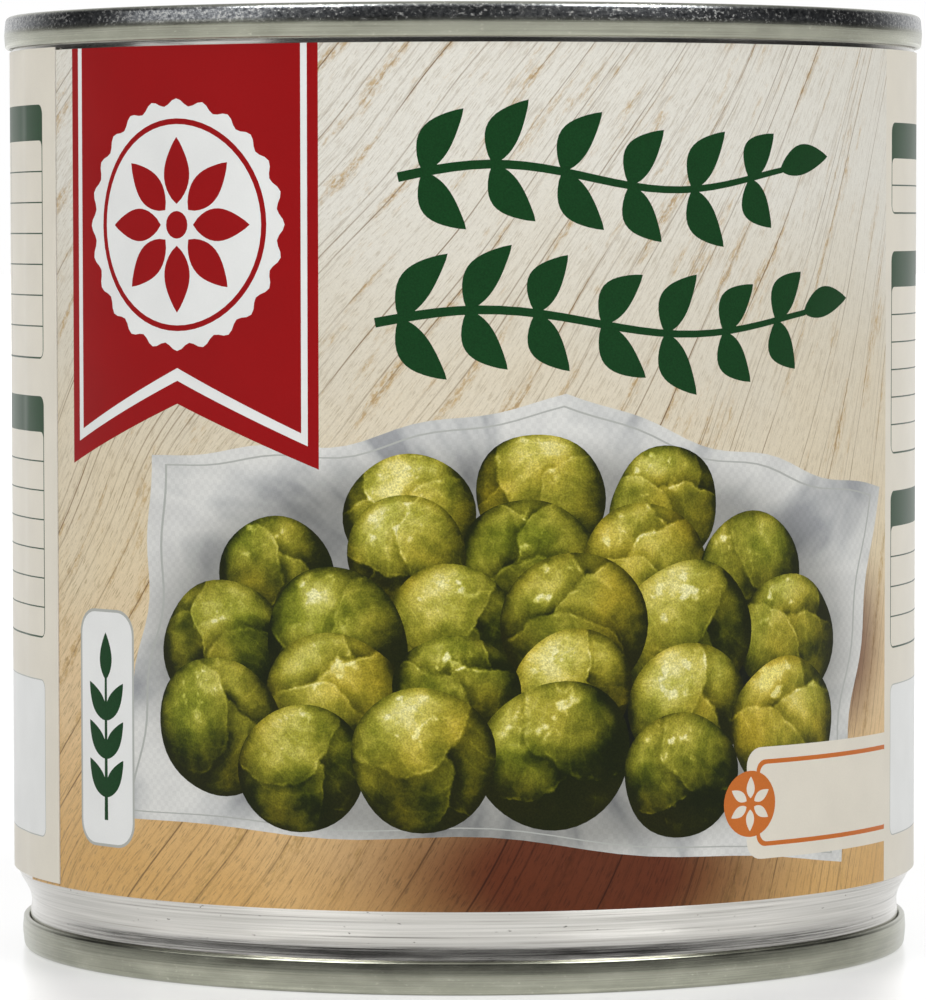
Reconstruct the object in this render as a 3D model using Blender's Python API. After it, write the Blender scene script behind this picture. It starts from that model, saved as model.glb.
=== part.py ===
"""An easy-open food can of nominal diameter 83 mm, with its paper label and its contents.

A welded tinplate body is curled together with a top end and a bottom end in two double seams. The body is
necked in above the bottom seam, so that one can stands in the top rim of another. The top end has a score
line, a finger well and a rivet drawn from its own sheet, which clamps the tongue of the pull tab. The tab
lifts about the fold where it leaves that tongue.

The can stands on Z = 0 about the Z axis, with its front at -Y. Lengths are in millimetres, and MM turns
them to metres where a mesh is made.
"""

import math
import random

import bmesh
import bpy
from mathutils import Euler, Vector

MM = 0.001
WELD = 1e-6
SMOOTH_BELOW = math.radians(40)

# The flats round every turned piece are in step, so that the thin gaps between sheets stay open
SIDES = 48
LAP_AZIMUTH = math.radians(-63)

CAN_HEIGHT = 85.3
BODY_RADIUS = 41.52
TOP_SEAM_RADIUS = 42.13
BOTTOM_SEAM_RADIUS = 40.90
BODY_SHEET = 0.17
END_SHEET = 0.20

# A double seam, measured as depths from the rim
SEAM_GAP = 0.05
SEAM_DEPTH = 2.95
SEAM_BEND = 0.30
RIM_CORNERS = (0.21, 0.27)
HOOK_CORNER = 0.105
HOOK_OVERLAP_DEPTH = 0.85
BODY_HOOK_DEPTH = 2.25
COMPOUND_HEIGHT = 0.26
COMPOUND_HALF_WIDTH = 0.08

TOP_NECK_DEPTHS = (3.4, 4.1)
BOTTOM_NECK_DEPTHS = (4.6, 7.7)
NECK_STEPS = 5

# The top end, outwards from its middle, as depths of the sheet's outer face below the rim
PANEL_DEPTH = 4.5
GROOVE_DEPTH = 5.25
GROOVE_INSETS = (2.25, 1.65, 1.15, 0.50, 0.12)
GROOVE_WALL_RISE = 0.45
WELL_HALF_SIZE = (9.5, 7.5)
WELL_DEPTH = 0.9
WELL_RINGS = (3.2, 6.4, 9.6)
TOP_BEAD = (20.8, 25.4, 0.4)
SCORE_RADIUS = 38.1
SCORE_HALF_WIDTH = 0.15
SCORE_CUT = 0.08

# The bottom end, with a raised bead and a lowered middle
BOTTOM_PANEL_DEPTH = 3.3
BOTTOM_GROOVE_DEPTH = 4.2
BOTTOM_BEAD = (26.5, 31.5, 0.5)
BEAD_SLOPE = 1.1

RIVET_Y = 31.0
RIVET_SHANK_RADIUS = 1.9
RIVET_HEAD_RADIUS = 2.6
RIVET_HEAD = (0.72, 1.30)
RIVET_DOME = (0.40, 0.25)
RIVET_SIDES = 16

# The pull tab, with its heights above the panel
TAB_UNDERSIDE = 0.95
TAB_THICKNESS = 1.3
TAB_EDGE = 0.35
BEVEL_ABOVE = math.radians(60)
NOSE_CENTRE_Y = 29.2
NOSE_RADIUS = 8.4
NOSE_STEPS = 12
RING_CENTRE_Y = 12.0
RING_RADIUS = 11.8
RING_STEPS = 20
FINGER_HOLE_CENTRE_Y = 11.6
FINGER_HOLE_RADIUS = 8.0
CORNER_STEPS = 3
WINDOW_HALF_WIDTH = 4.3
WINDOW_Y = (26.6, 34.0)
WINDOW_CORNER = 2.6
HINGE_HEIGHT = 0.8
TONGUE_HALF_WIDTH = 3.7
TONGUE_Y = (27.4, 33.7)
TONGUE_CORNER = 2.0
TONGUE_HEIGHTS = (0.2, 0.55)
TONGUE_HOLE_CLEARANCE = 0.15

LABEL_LOW = 7.33
LABEL_HIGH = 81.83
LABEL_INNER_RADIUS = 41.55
LABEL_PAPER = 0.10
LABEL_SKEW = 0.25
LAP_FLATS = 1
LAP_EDGE_ANGLE = math.radians(0.15)

SPROUT_RADIUS = 12.7
MIDDLE_SPROUT_RADIUS = 12.2
SPROUTS_ROUND = 6
SPROUT_LAYERS = 3
SPROUT_GAP = 0.4
SPROUT_SEGMENTS = 9
SPROUT_RINGS = 6
SPROUT_LEAVES = 3
SPROUT_LEAF_STEP = 0.06
SPROUT_STEM_CUT = 0.86
SPROUT_SEED = 83

# Each material's colour, roughness and metallic value
MATERIALS = {
    "tinplate": ((0.62, 0.62, 0.61), 0.30, 1.0),
    "tab_steel": ((0.66, 0.66, 0.66), 0.25, 1.0),
    "label_paper": ((0.66, 0.56, 0.42), 0.45, 0.0),
    "seam_compound": ((0.30, 0.30, 0.28), 0.80, 0.0),
    "sprout_leaf": ((0.18, 0.25, 0.05), 0.50, 0.0),
}


def clear_scene():
    for thing in list(bpy.data.objects):
        bpy.data.objects.remove(thing, do_unlink=True)


def make_material(name):
    colour, roughness, metallic = MATERIALS[name]
    material = bpy.data.materials.new(name)
    material.use_nodes = True
    shader = material.node_tree.nodes["Principled BSDF"]
    shader.inputs["Base Color"].default_value = (*colour, 1.0)
    shader.inputs["Roughness"].default_value = roughness
    shader.inputs["Metallic"].default_value = metallic
    return material


def place(name, bm, material, parent, origin=(0, 0, 0)):
    """An object made from a mesh in world millimetres, with its own origin at a world point."""
    bmesh.ops.translate(bm, verts=bm.verts, vec=-Vector(origin))
    bmesh.ops.scale(bm, verts=bm.verts, vec=(MM, MM, MM))
    bmesh.ops.remove_doubles(bm, verts=bm.verts, dist=WELD)
    bmesh.ops.recalc_face_normals(bm, faces=bm.faces)
    mesh = bpy.data.meshes.new(name)
    bm.to_mesh(mesh)
    bm.free()
    mesh.materials.append(material)
    mesh.shade_smooth()
    mesh.set_sharp_from_angle(angle=SMOOTH_BELOW)
    thing = bpy.data.objects.new(name, mesh)
    bpy.context.scene.collection.objects.link(thing)
    thing.parent = parent
    thing.location = (Vector(origin) - Vector(parent["stands_at"])) * MM
    return thing


def make_empty(name, origin, parent=None):
    empty = bpy.data.objects.new(name, None)
    bpy.context.scene.collection.objects.link(empty)
    empty["stands_at"] = origin
    empty.parent = parent
    empty.location = Vector(origin) * MM
    return empty


def side_of(line, distance):
    """The line moved sideways by a distance, to its left for a positive one, with mitred corners."""
    points = [Vector(p) for p in line]
    runs = [(b - a).normalized() for a, b in zip(points, points[1:])]
    lefts = [Vector((-run.y, run.x)) for run in runs]
    moved = []
    for point, before, after in zip(points, lefts[:1] + lefts, lefts + lefts[-1:]):
        middle = (before + after).normalized()
        moved.append(point + middle * (distance / middle.dot(before)))
    return moved


def turned(outline, sides=SIDES, closed=True, centre=(0, 0)):
    """A mesh of an outline of (radius, height) points carried round a vertical axis."""
    bm = bmesh.new()
    across, along = math.sin(LAP_AZIMUTH), -math.cos(LAP_AZIMUTH)
    x, y = centre
    verts = [bm.verts.new((x + r * across, y + r * along, z)) for r, z in outline]
    ends = verts[1:] + verts[:1] if closed else verts[1:]
    edges = [bm.edges.new(pair) for pair in zip(verts, ends)]
    bmesh.ops.spin(
        bm,
        geom=verts + edges,
        cent=(x, y, 0),
        axis=(0, 0, 1),
        angle=2 * math.pi,
        steps=sides,
        use_merge=True,
    )
    bmesh.ops.remove_doubles(bm, verts=bm.verts, dist=WELD)
    return bm


def seam_layers(outer_radius):
    """The middle radius of each sheet in a double seam, from its outer wall inwards."""
    sheets = {
        "outer_wall": END_SHEET,
        "body_hook": BODY_SHEET,
        "cover_hook": END_SHEET,
        "body_wall": BODY_SHEET,
        "chuck_wall": END_SHEET,
    }
    layers = {}
    for name, thickness in sheets.items():
        layers[name] = outer_radius - thickness / 2
        outer_radius -= thickness + SEAM_GAP
    return layers


def end_seam_line(seam):
    """The end's share of a seam, as (radius, depth): chuck wall, rim, outer wall and cover hook."""
    rim = END_SHEET / 2
    turn = SEAM_DEPTH - END_SHEET / 2
    small = SEAM_BEND / 2
    return [
        (seam["chuck_wall"], rim + SEAM_BEND),
        (seam["chuck_wall"] + RIM_CORNERS[0], rim),
        (seam["outer_wall"] - RIM_CORNERS[1], rim),
        (seam["outer_wall"], rim + SEAM_BEND),
        (seam["outer_wall"], turn - small),
        (seam["outer_wall"] - small, turn),
        (seam["cover_hook"] + HOOK_CORNER, turn),
        (seam["cover_hook"], turn - small),
        (seam["cover_hook"], HOOK_OVERLAP_DEPTH),
    ]


def body_seam_line(seam):
    """The body's share of a seam, as (radius, depth): its wall, and the flange turned down as a hook."""
    top = END_SHEET + SEAM_GAP + BODY_SHEET / 2
    small = SEAM_BEND / 2
    return [
        (seam["body_wall"], top + SEAM_BEND),
        (seam["body_wall"] + small, top),
        (seam["body_hook"] - small, top),
        (seam["body_hook"], top + SEAM_BEND),
        (seam["body_hook"], BODY_HOOK_DEPTH),
    ]


def bead_line(bead, depth):
    """A raised ring between two radii, as (radius, depth) points on a flat panel at a depth."""
    inner, outer, height = bead
    return [
        (inner, depth),
        (inner + BEAD_SLOPE, depth - height),
        (outer - BEAD_SLOPE, depth - height),
        (outer, depth),
    ]


def groove_line(seam, panel_depth, groove_depth):
    """The countersink, as (radius, depth): down from the panel's edge, and up to the chuck wall."""
    half_way = (panel_depth + groove_depth) / 2
    wall_foot = groove_depth - GROOVE_WALL_RISE
    depths = (panel_depth, half_way, groove_depth, groove_depth, wall_foot)
    return [(seam["chuck_wall"] - inset, d) for inset, d in zip(GROOVE_INSETS, depths)]


def end_outline(seam, panel, panel_depth, groove_depth, height_of):
    """The closed section of an end's sheet, from the axis on one face to the axis on the other."""
    half = END_SHEET / 2
    flat = [(r, d + half) for r, d in panel]
    groove = groove_line(seam, panel_depth + half, groove_depth + half)
    line = [(r, height_of(d)) for r, d in flat + groove + end_seam_line(seam)]
    return side_of(line, half), side_of(line, -half)[::-1]


def make_top_end(seam, material, parent):
    panel = [(0, PANEL_DEPTH)]
    panel += [(radius, PANEL_DEPTH) for radius in WELL_RINGS]
    panel += bead_line(TOP_BEAD, PANEL_DEPTH)
    outer, inner = end_outline(
        seam, panel, PANEL_DEPTH, GROOVE_DEPTH, lambda depth: CAN_HEIGHT - depth
    )
    surface = CAN_HEIGHT - PANEL_DEPTH
    score = [
        Vector((SCORE_RADIUS - SCORE_HALF_WIDTH, surface)),
        Vector((SCORE_RADIUS, surface - SCORE_CUT)),
        Vector((SCORE_RADIUS + SCORE_HALF_WIDTH, surface)),
    ]
    flat_points = len(panel)
    bm = turned(outer[:flat_points] + score + outer[flat_points:] + inner, closed=False)
    # The finger well is a smooth oval dish: its depth falls off as the square of (1 - q squared)
    for vert in bm.verts:
        q2 = sum((c / half) ** 2 for c, half in zip(vert.co.xy, WELL_HALF_SIZE))
        if q2 < 1:
            vert.co.z -= WELL_DEPTH * (1 - q2) ** 2
    end = place("top_end", bm, material, parent)
    rivet = place("rivet_tool", make_rivet_mesh(surface), material, parent)
    join = end.modifiers.new("rivet", "BOOLEAN")
    join.operation = "UNION"
    join.object = rivet
    bpy.context.view_layer.update()
    whole = end.evaluated_get(bpy.context.evaluated_depsgraph_get())
    mesh = bpy.data.meshes.new_from_object(whole)
    end.modifiers.clear()
    end.data = mesh
    bpy.data.objects.remove(rivet, do_unlink=True)


def make_rivet_mesh(surface):
    """The rivet that the end's sheet is drawn into: a shank rooted in the sheet, and a domed head."""
    low, high = (surface + h for h in RIVET_HEAD)
    dome_inset, dome_height = RIVET_DOME
    outline = [
        (0, surface - END_SHEET / 2),
        (RIVET_SHANK_RADIUS, surface - END_SHEET / 2),
        (RIVET_SHANK_RADIUS, low),
        (RIVET_HEAD_RADIUS, low),
        (RIVET_HEAD_RADIUS, high - dome_height),
        (RIVET_HEAD_RADIUS - dome_inset, high),
        (0, high),
    ]
    return turned(outline, sides=RIVET_SIDES, closed=False, centre=(0, RIVET_Y))


def make_bottom_end(seam, material, parent):
    panel = [(0, BOTTOM_PANEL_DEPTH)] + bead_line(BOTTOM_BEAD, BOTTOM_PANEL_DEPTH)
    outer, inner = end_outline(
        seam, panel, BOTTOM_PANEL_DEPTH, BOTTOM_GROOVE_DEPTH, lambda depth: depth
    )
    place("bottom_end", turned(outer + inner, closed=False), material, parent)


def smooth_step(t):
    return t * t * (3 - 2 * t)


def make_body(top_seam, bottom_seam, material, parent):
    middle = BODY_RADIUS - BODY_SHEET / 2
    low, high = BOTTOM_NECK_DEPTHS
    neck = []
    for i in range(NECK_STEPS + 1):
        share = i / NECK_STEPS
        radius = bottom_seam["body_wall"] + (middle - bottom_seam["body_wall"]) * smooth_step(share)
        neck.append((radius, low + (high - low) * share))
    top_start, top_end = TOP_NECK_DEPTHS
    line = body_seam_line(bottom_seam)[::-1] + neck
    line += [(middle, CAN_HEIGHT - top_end), (top_seam["body_wall"], CAN_HEIGHT - top_start)]
    line += [(r, CAN_HEIGHT - depth) for r, depth in body_seam_line(top_seam)]
    half = BODY_SHEET / 2
    outline = side_of(line, half) + side_of(line, -half)[::-1]
    place("can_body", turned(outline), material, parent)


def make_compound(name, seam, height_of, material, parent):
    """The ring of sealing compound in the seam, over the cover hook and inside the body's turned flange."""
    deep = HOOK_OVERLAP_DEPTH - SEAM_GAP
    shallow = deep - COMPOUND_HEIGHT
    inner = seam["cover_hook"] - COMPOUND_HALF_WIDTH
    outer = seam["cover_hook"] + COMPOUND_HALF_WIDTH
    corners = [(inner, shallow), (outer, shallow), (outer, deep), (inner, deep)]
    place(name, turned([(r, height_of(d)) for r, d in corners]), material, parent)


def make_label(material, parent):
    """One strip of paper wound round the body, with its end glued over its beginning."""
    bm = bmesh.new()
    step = 2 * math.pi / SIDES
    columns = [(LAP_AZIMUTH + step * k, 0) for k in range(SIDES + 1 - LAP_FLATS)]
    columns += [(LAP_AZIMUTH + step * k, 1) for k in range(SIDES + 1 - LAP_FLATS, SIDES)]
    columns += [(LAP_AZIMUTH + 2 * math.pi - LAP_EDGE_ANGLE, 1)]
    lower, upper = [], []
    for azimuth, layers_over in columns:
        outer = LABEL_INNER_RADIUS + LABEL_PAPER * (1 + layers_over)
        rise = LABEL_SKEW * (azimuth - LAP_AZIMUTH) / (2 * math.pi)
        for ring, z in ((lower, LABEL_LOW), (upper, LABEL_HIGH)):
            ring.append(
                [
                    bm.verts.new((r * math.sin(azimuth), -r * math.cos(azimuth), z + rise))
                    for r in (LABEL_INNER_RADIUS, outer)
                ]
            )
    for (a_in, a_out), (b_in, b_out), (c_in, c_out), (d_in, d_out) in zip(
        lower, lower[1:] + lower[:1], upper, upper[1:] + upper[:1]
    ):
        bm.faces.new((a_out, b_out, d_out, c_out))
        bm.faces.new((b_in, a_in, c_in, d_in))
        bm.faces.new((a_in, b_in, b_out, a_out))
        bm.faces.new((c_out, d_out, d_in, c_in))
    place("paper_label", bm, material, parent)


def arc(centre, radius, start, end, steps):
    """Points on an arc, with angles in degrees counted from +X towards +Y."""
    x, y = centre
    angles = [math.radians(start + (end - start) * i / steps) for i in range(steps + 1)]
    return [(x + radius * math.cos(a), y + radius * math.sin(a)) for a in angles]


def circle(centre, radius, steps):
    return arc(centre, radius, 0, 360, steps)[:-1]


def rounded_box(half_width, y_range, corner):
    low, high = y_range
    x = half_width - corner
    points = []
    for start, centre in (
        (0, (x, high - corner)),
        (90, (-x, high - corner)),
        (180, (-x, low + corner)),
        (270, (x, low + corner)),
    ):
        points += arc(centre, corner, start, start + 90, CORNER_STEPS)
    return points


def plate(outline, holes, low, high):
    """A flat plate between two heights, from an outline and the outlines of its holes."""
    bm = bmesh.new()
    edges = []
    for loop in [outline, *holes]:
        verts = [bm.verts.new((x, y, low)) for x, y in loop]
        edges += [bm.edges.new(pair) for pair in zip(verts, verts[1:] + verts[:1])]
    faces = bmesh.ops.triangle_fill(bm, edges=edges, use_beauty=True)["geom"]
    faces = [f for f in faces if isinstance(f, bmesh.types.BMFace)]
    raised = bmesh.ops.extrude_face_region(bm, geom=faces, use_keep_orig=True)["geom"]
    verts = [v for v in raised if isinstance(v, bmesh.types.BMVert)]
    bmesh.ops.translate(bm, verts=verts, vec=(0, 0, high - low))
    return bm


def make_tab(steel, parent):
    """The ring and its nose: two circles joined by their common tangents, pierced by two holes."""
    surface = CAN_HEIGHT - PANEL_DEPTH
    spread = math.degrees(
        math.acos((RING_RADIUS - NOSE_RADIUS) / (NOSE_CENTRE_Y - RING_CENTRE_Y))
    )
    outline = arc((0, NOSE_CENTRE_Y), NOSE_RADIUS, 90 - spread, 90 + spread, NOSE_STEPS)
    outline += arc((0, RING_CENTRE_Y), RING_RADIUS, 90 + spread, 450 - spread, RING_STEPS)
    finger_hole = circle((0, FINGER_HOLE_CENTRE_Y), FINGER_HOLE_RADIUS, RING_STEPS)
    window = rounded_box(WINDOW_HALF_WIDTH, WINDOW_Y, WINDOW_CORNER)
    low = surface + TAB_UNDERSIDE
    bm = plate(outline, [finger_hole, window], low, low + TAB_THICKNESS)
    tab = place("pull_tab", bm, steel, parent, origin=parent["stands_at"])
    rounding = tab.modifiers.new("edge", "BEVEL")
    rounding.width = TAB_EDGE * MM
    rounding.segments = 1
    rounding.limit_method = "ANGLE"
    rounding.angle_limit = BEVEL_ABOVE


def make_tongue(steel, parent):
    """The middle of the tab, cut free on three sides, which the rivet holds down on the panel."""
    surface = CAN_HEIGHT - PANEL_DEPTH
    low, high = (surface + h for h in TONGUE_HEIGHTS)
    outline = rounded_box(TONGUE_HALF_WIDTH, TONGUE_Y, TONGUE_CORNER)
    hole = circle((0, RIVET_Y), RIVET_SHANK_RADIUS + TONGUE_HOLE_CLEARANCE, RIVET_SIDES)
    place("tab_tongue", plate(outline, [hole], low, high), steel, parent)


def sprout_mesh(radius):
    """A cooked sprout: a round head of leaves wrapped one over the next, above a cut stem.

    A point's distance from the middle drops in a slanting saw-tooth from one leaf's edge to the next,
    except at the two poles.
    """
    bm = bmesh.new()
    bmesh.ops.create_uvsphere(
        bm, u_segments=SPROUT_SEGMENTS, v_segments=SPROUT_RINGS, radius=radius
    )
    for vert in bm.verts:
        height = vert.co.z / radius
        turn = math.atan2(vert.co.y, vert.co.x) / (2 * math.pi) + height / (2 * SPROUT_LEAVES)
        if vert.co.xy.length > WELD:
            vert.co *= 1 - SPROUT_LEAF_STEP * (turn * SPROUT_LEAVES % 1)
        vert.co.z = max(vert.co.z, -SPROUT_STEM_CUT * radius)
    return bm


def make_sprouts(material, parent):
    """Rings of sprouts on the wall, each ring in the hollows of the one below, and a column in the middle."""
    draw = random.Random(SPROUT_SEED)
    floor = BOTTOM_PANEL_DEPTH + END_SHEET + SPROUT_GAP
    wall = (BODY_RADIUS - BODY_SHEET) * math.cos(math.pi / SIDES)
    ring_radius = wall - SPROUT_RADIUS - SPROUT_GAP
    half_turn = math.pi / SPROUTS_ROUND
    sideways = 2 * ring_radius * math.sin(half_turn / 2)
    rise = math.sqrt((2 * SPROUT_RADIUS + SPROUT_GAP) ** 2 - sideways**2)
    places = []
    for layer in range(SPROUT_LAYERS):
        middle = floor + MIDDLE_SPROUT_RADIUS + layer * (2 * MIDDLE_SPROUT_RADIUS + SPROUT_GAP)
        places.append(((0, 0, middle), MIDDLE_SPROUT_RADIUS))
        height = floor + SPROUT_RADIUS + layer * rise
        for k in range(SPROUTS_ROUND):
            angle = half_turn * (2 * k + layer % 2)
            spot = (ring_radius * math.cos(angle), ring_radius * math.sin(angle), height)
            places.append((spot, SPROUT_RADIUS))
    for number, (spot, radius) in enumerate(places, 1):
        bm = sprout_mesh(radius)
        turn = Euler([draw.uniform(0, 2 * math.pi) for _ in range(3)])
        bmesh.ops.rotate(bm, verts=bm.verts, matrix=turn.to_matrix())
        bmesh.ops.translate(bm, verts=bm.verts, vec=spot)
        place(f"sprout_{number:02d}", bm, material, parent, origin=spot)


def main():
    clear_scene()
    tinplate = make_material("tinplate")
    tab_steel = make_material("tab_steel")
    compound = make_material("seam_compound")

    can = make_empty("can", (0, 0, 0))
    hinge_height = CAN_HEIGHT - PANEL_DEPTH + HINGE_HEIGHT
    tab_hinge = make_empty("tab_hinge", (0, WINDOW_Y[1], hinge_height), can)

    top_seam = seam_layers(TOP_SEAM_RADIUS)
    bottom_seam = seam_layers(BOTTOM_SEAM_RADIUS)
    make_body(top_seam, bottom_seam, tinplate, can)
    make_top_end(top_seam, tinplate, can)
    make_bottom_end(bottom_seam, tinplate, can)
    make_compound("top_compound", top_seam, lambda d: CAN_HEIGHT - d, compound, can)
    make_compound("bottom_compound", bottom_seam, lambda d: d, compound, can)
    make_tongue(tab_steel, can)
    make_tab(tab_steel, tab_hinge)
    make_label(make_material("label_paper"), can)
    make_sprouts(make_material("sprout_leaf"), can)


main()
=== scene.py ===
"""The looks of an easy-open food can: bright tinplate, a curled pull tab and a varnished paper label.

Lengths are in millimetres until a mesh is made. An azimuth is counted from the front (-Y) towards +X.
The label is drawn flat, as u along its strip and v up from its lower edge, and is then wound round the can.
"""

import math
from functools import partial

import bmesh
import bpy
import numpy as np
from mathutils import Matrix, Vector
from mathutils.geometry import delaunay_2d_cdt


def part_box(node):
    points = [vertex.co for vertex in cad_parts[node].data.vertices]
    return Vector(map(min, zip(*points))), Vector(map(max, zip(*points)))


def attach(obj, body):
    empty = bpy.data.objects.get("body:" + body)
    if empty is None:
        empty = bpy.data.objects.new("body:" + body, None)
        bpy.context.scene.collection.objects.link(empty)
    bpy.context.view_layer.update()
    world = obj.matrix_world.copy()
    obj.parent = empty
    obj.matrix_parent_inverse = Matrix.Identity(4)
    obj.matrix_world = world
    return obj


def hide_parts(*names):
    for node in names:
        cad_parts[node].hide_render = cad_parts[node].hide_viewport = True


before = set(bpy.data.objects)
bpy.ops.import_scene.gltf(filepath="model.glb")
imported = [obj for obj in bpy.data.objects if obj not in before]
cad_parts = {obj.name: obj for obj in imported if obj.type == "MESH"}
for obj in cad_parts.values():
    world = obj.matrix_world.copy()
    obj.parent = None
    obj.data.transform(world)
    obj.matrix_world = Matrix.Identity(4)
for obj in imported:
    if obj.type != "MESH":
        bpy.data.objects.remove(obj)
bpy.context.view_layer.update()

MM = 0.001
WELD = 1e-7

# The camera, fitted to the rims and edges in the photograph
CAMERA_AT = (0, -550, 66.0)
CAMERA_PITCH = -3.82
CAMERA_ROLL = -0.07
CAMERA_LENS = 214.16
CAMERA_SHIFT = (-0.0008, 0.1257)

# The can's driving sizes
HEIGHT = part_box("top_end")[1][2] / MM
BODY_RADIUS = 41.52
BODY_SHEET = 0.17
END_SHEET = 0.20
SEAM_GAP = 0.05
TOP_SEAM_RADIUS = 42.13
BOTTOM_SEAM_RADIUS = 40.90
SEAM_DEPTH = 2.95
HOOK_END_DEPTH = 0.85
BODY_HOOK_DEPTH = 2.25
SIDES = 192

# How the seaming roll leaves the seam's outer wall: widest at a crease, leaning in above and below it. The
# roundings are those of the chuck wall's rim, the outer rim, the crease and the two turns of the hook
SEAM_CREASE_DEPTH = 1.62
SEAM_LEAN_ABOVE = 0.15
SEAM_LEAN_BELOW = 0.09
SEAM_EASING = (0.42, 0.42, 0.25, 0.22, 0.22)

# The countersink in front of the chuck wall: how far in from the wall it starts, turns along its floor, turns
# up and meets the wall, how far that last point stands above half its depth, and the four roundings
GROOVE_INSETS = (2.25, 1.15, 0.45, 0.12)
GROOVE_RISE = 0.3
GROOVE_EASING = (0.35, 0.5, 0.45, 0.4)

# The easy-open end. A bead is its inner and outer radius and its height
PANEL_DEPTH = 4.5
PANEL_TOP = HEIGHT - PANEL_DEPTH
GROOVE_DEPTH = 5.25
WELL_HALF_SIZE = (9.5, 7.5)
WELL_DEPTH = 0.9
WELL_REACH = 9.8
TOP_BEAD = (20.8, 25.4, 0.4)
OUTER_BEAD = (33.4, 36.2, 0.18)
BEAD_SLOPE = 1.1
BEAD_EASING = 0.8
SCORE_RADIUS = 38.1
SCORE_HALF_WIDTH = 0.15
SCORE_CUT = 0.08

# The bottom end
BOTTOM_PANEL_DEPTH = 3.3
BOTTOM_GROOVE_DEPTH = 4.2
BOTTOM_BEADS = ((12.0, 16.0, 0.3), (26.5, 31.5, 0.5))

# The body's necks: how far from the can's nearer end each starts and ends, and how far the lower one's waist
# is in from its seam
BOTTOM_NECK = (4.9, 7.5)
WAIST = 0.22
TOP_NECK = (3.0, 4.1)
BODY_EASING = (0.22, 0.22, 0.5, 1.3, 1.2, 0.3, 0.3, 0.22, 0.22)
LONGEST_RUN = 6.0

# The rivet. Its head's underside and top are above the panel, with a domed rim round a dimple. The insets are
# where the rim's top starts and ends and the dimple's floor starts
RIVET_Y = 31.0
RIVET_SHANK = 1.9
RIVET_HEAD = 2.6
RIVET_HEIGHTS = (0.72, 1.30)
RIVET_DOME = 0.12
RIVET_DIMPLE = 0.16
RIVET_INSETS = (0.75, 1.3, 1.55)
RIVET_EASING = (0.05, 0.08, 0.15, 0.22, 0.25, 0.2, 0.15)

# The pull tab: two arcs with a finger hole in its ring and a window round its tongue
TAB_UNDERSIDE = 0.95
TAB_THICKNESS = 1.3
TAB_SHEET = 0.42
NOSE_Y = 29.2
NOSE_RADIUS = 8.4
RING_Y = 12.0
RING_RADIUS = 11.8
FINGER_HOLE_Y = 11.6
FINGER_HOLE_RADIUS = 8.0
FINGER_CURL = 0.62
WEB_DROP = 0.25
STIFFENER_Y = 23.2
STIFFENER_HALF_SIZE = (5.6, 1.9)
STIFFENER_HEIGHT = 0.45
WEB_GRID = 0.55
WINDOW_HALF_WIDTH = 4.3
WINDOW_Y = (26.6, 34.0)
WINDOW_CORNER = 2.6

# The riveted tongue. Its fold is where it starts to rise, where it joins the tab, and how far it rises
TONGUE_HALF_WIDTH = 3.7
TONGUE_Y = (27.4, 34.3)
TONGUE_CORNER = 2.0
TONGUE_UNDERSIDE = 0.2
TONGUE_SHEET = 0.35
TONGUE_FOLD = (32.4, 34.1, 0.95)
TONGUE_GRID = 0.4
SHANK_ROOM = 0.1

# The label: a strip of paper, tucked under its own end, which lifts over it
LAP_AZIMUTH = -60
LABEL_LOW = 7.33
LABEL_TALL = 74.50
LABEL_INNER_RADIUS = 41.55
LABEL_PAPER = 0.10
LABEL_SKEW = 0.25
LABEL_TUCK = 7.0
LABEL_LIFT = 0.11
LABEL_RAMP = 2.0
LABEL_RADIUS = LABEL_INNER_RADIUS + LABEL_PAPER
LABEL_ROUND = 2 * math.pi * LABEL_RADIUS
FRONT_ANGLE = 125
FRONT_WIDE = LABEL_ROUND * FRONT_ANGLE / 360
SIDE_WIDE = LABEL_ROUND / 2 - FRONT_WIDE


def linear(colour):
    """A colour for a shader's socket from an sRGB hex value such as #a0b1c2."""
    srgb = [int(colour[i : i + 2], 16) / 255 for i in (1, 3, 5)]
    return (*(c / 12.92 if c <= 0.04045 else ((c + 0.055) / 1.055) ** 2.4 for c in srgb), 1.0)


def add(tree, kind, inputs=(), out=0, stops=(), **settings):
    """Adds a shader node with its settings and colour stops, and returns one output.

    An input is a value or a socket. They come in the node's own order, or by name or number where some are
    left out. A stop is a place and a hex value.
    """
    made = tree.nodes.new("ShaderNode" + kind)
    for name, value in settings.items():
        setattr(made, name, value)
    for key, value in inputs.items() if isinstance(inputs, dict) else enumerate(inputs):
        if isinstance(value, bpy.types.NodeSocket):
            tree.links.new(value, made.inputs[key])
        else:
            made.inputs[key].default_value = value
    for _ in stops[2:]:
        made.color_ramp.elements.new(0.5)
    for element, (place, colour) in zip(made.color_ramp.elements if stops else (), stops):
        element.position = place
        element.color = linear(colour)
    return made.outputs[out]


def make_material(name, pattern, **constants):
    """A Principled material: its constant sockets by name, and the rest from a pattern that adds nodes."""
    material = bpy.data.materials.new(name)
    material.use_nodes = True
    tree = material.node_tree
    shader = tree.nodes["Principled BSDF"]
    for key, value in constants.items():
        shader.inputs[key.replace("_", " ").title().replace("Ior", "IOR")].default_value = value
    for key, socket in pattern(partial(add, tree)).items():
        tree.links.new(socket, shader.inputs[key])
    return material


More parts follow.
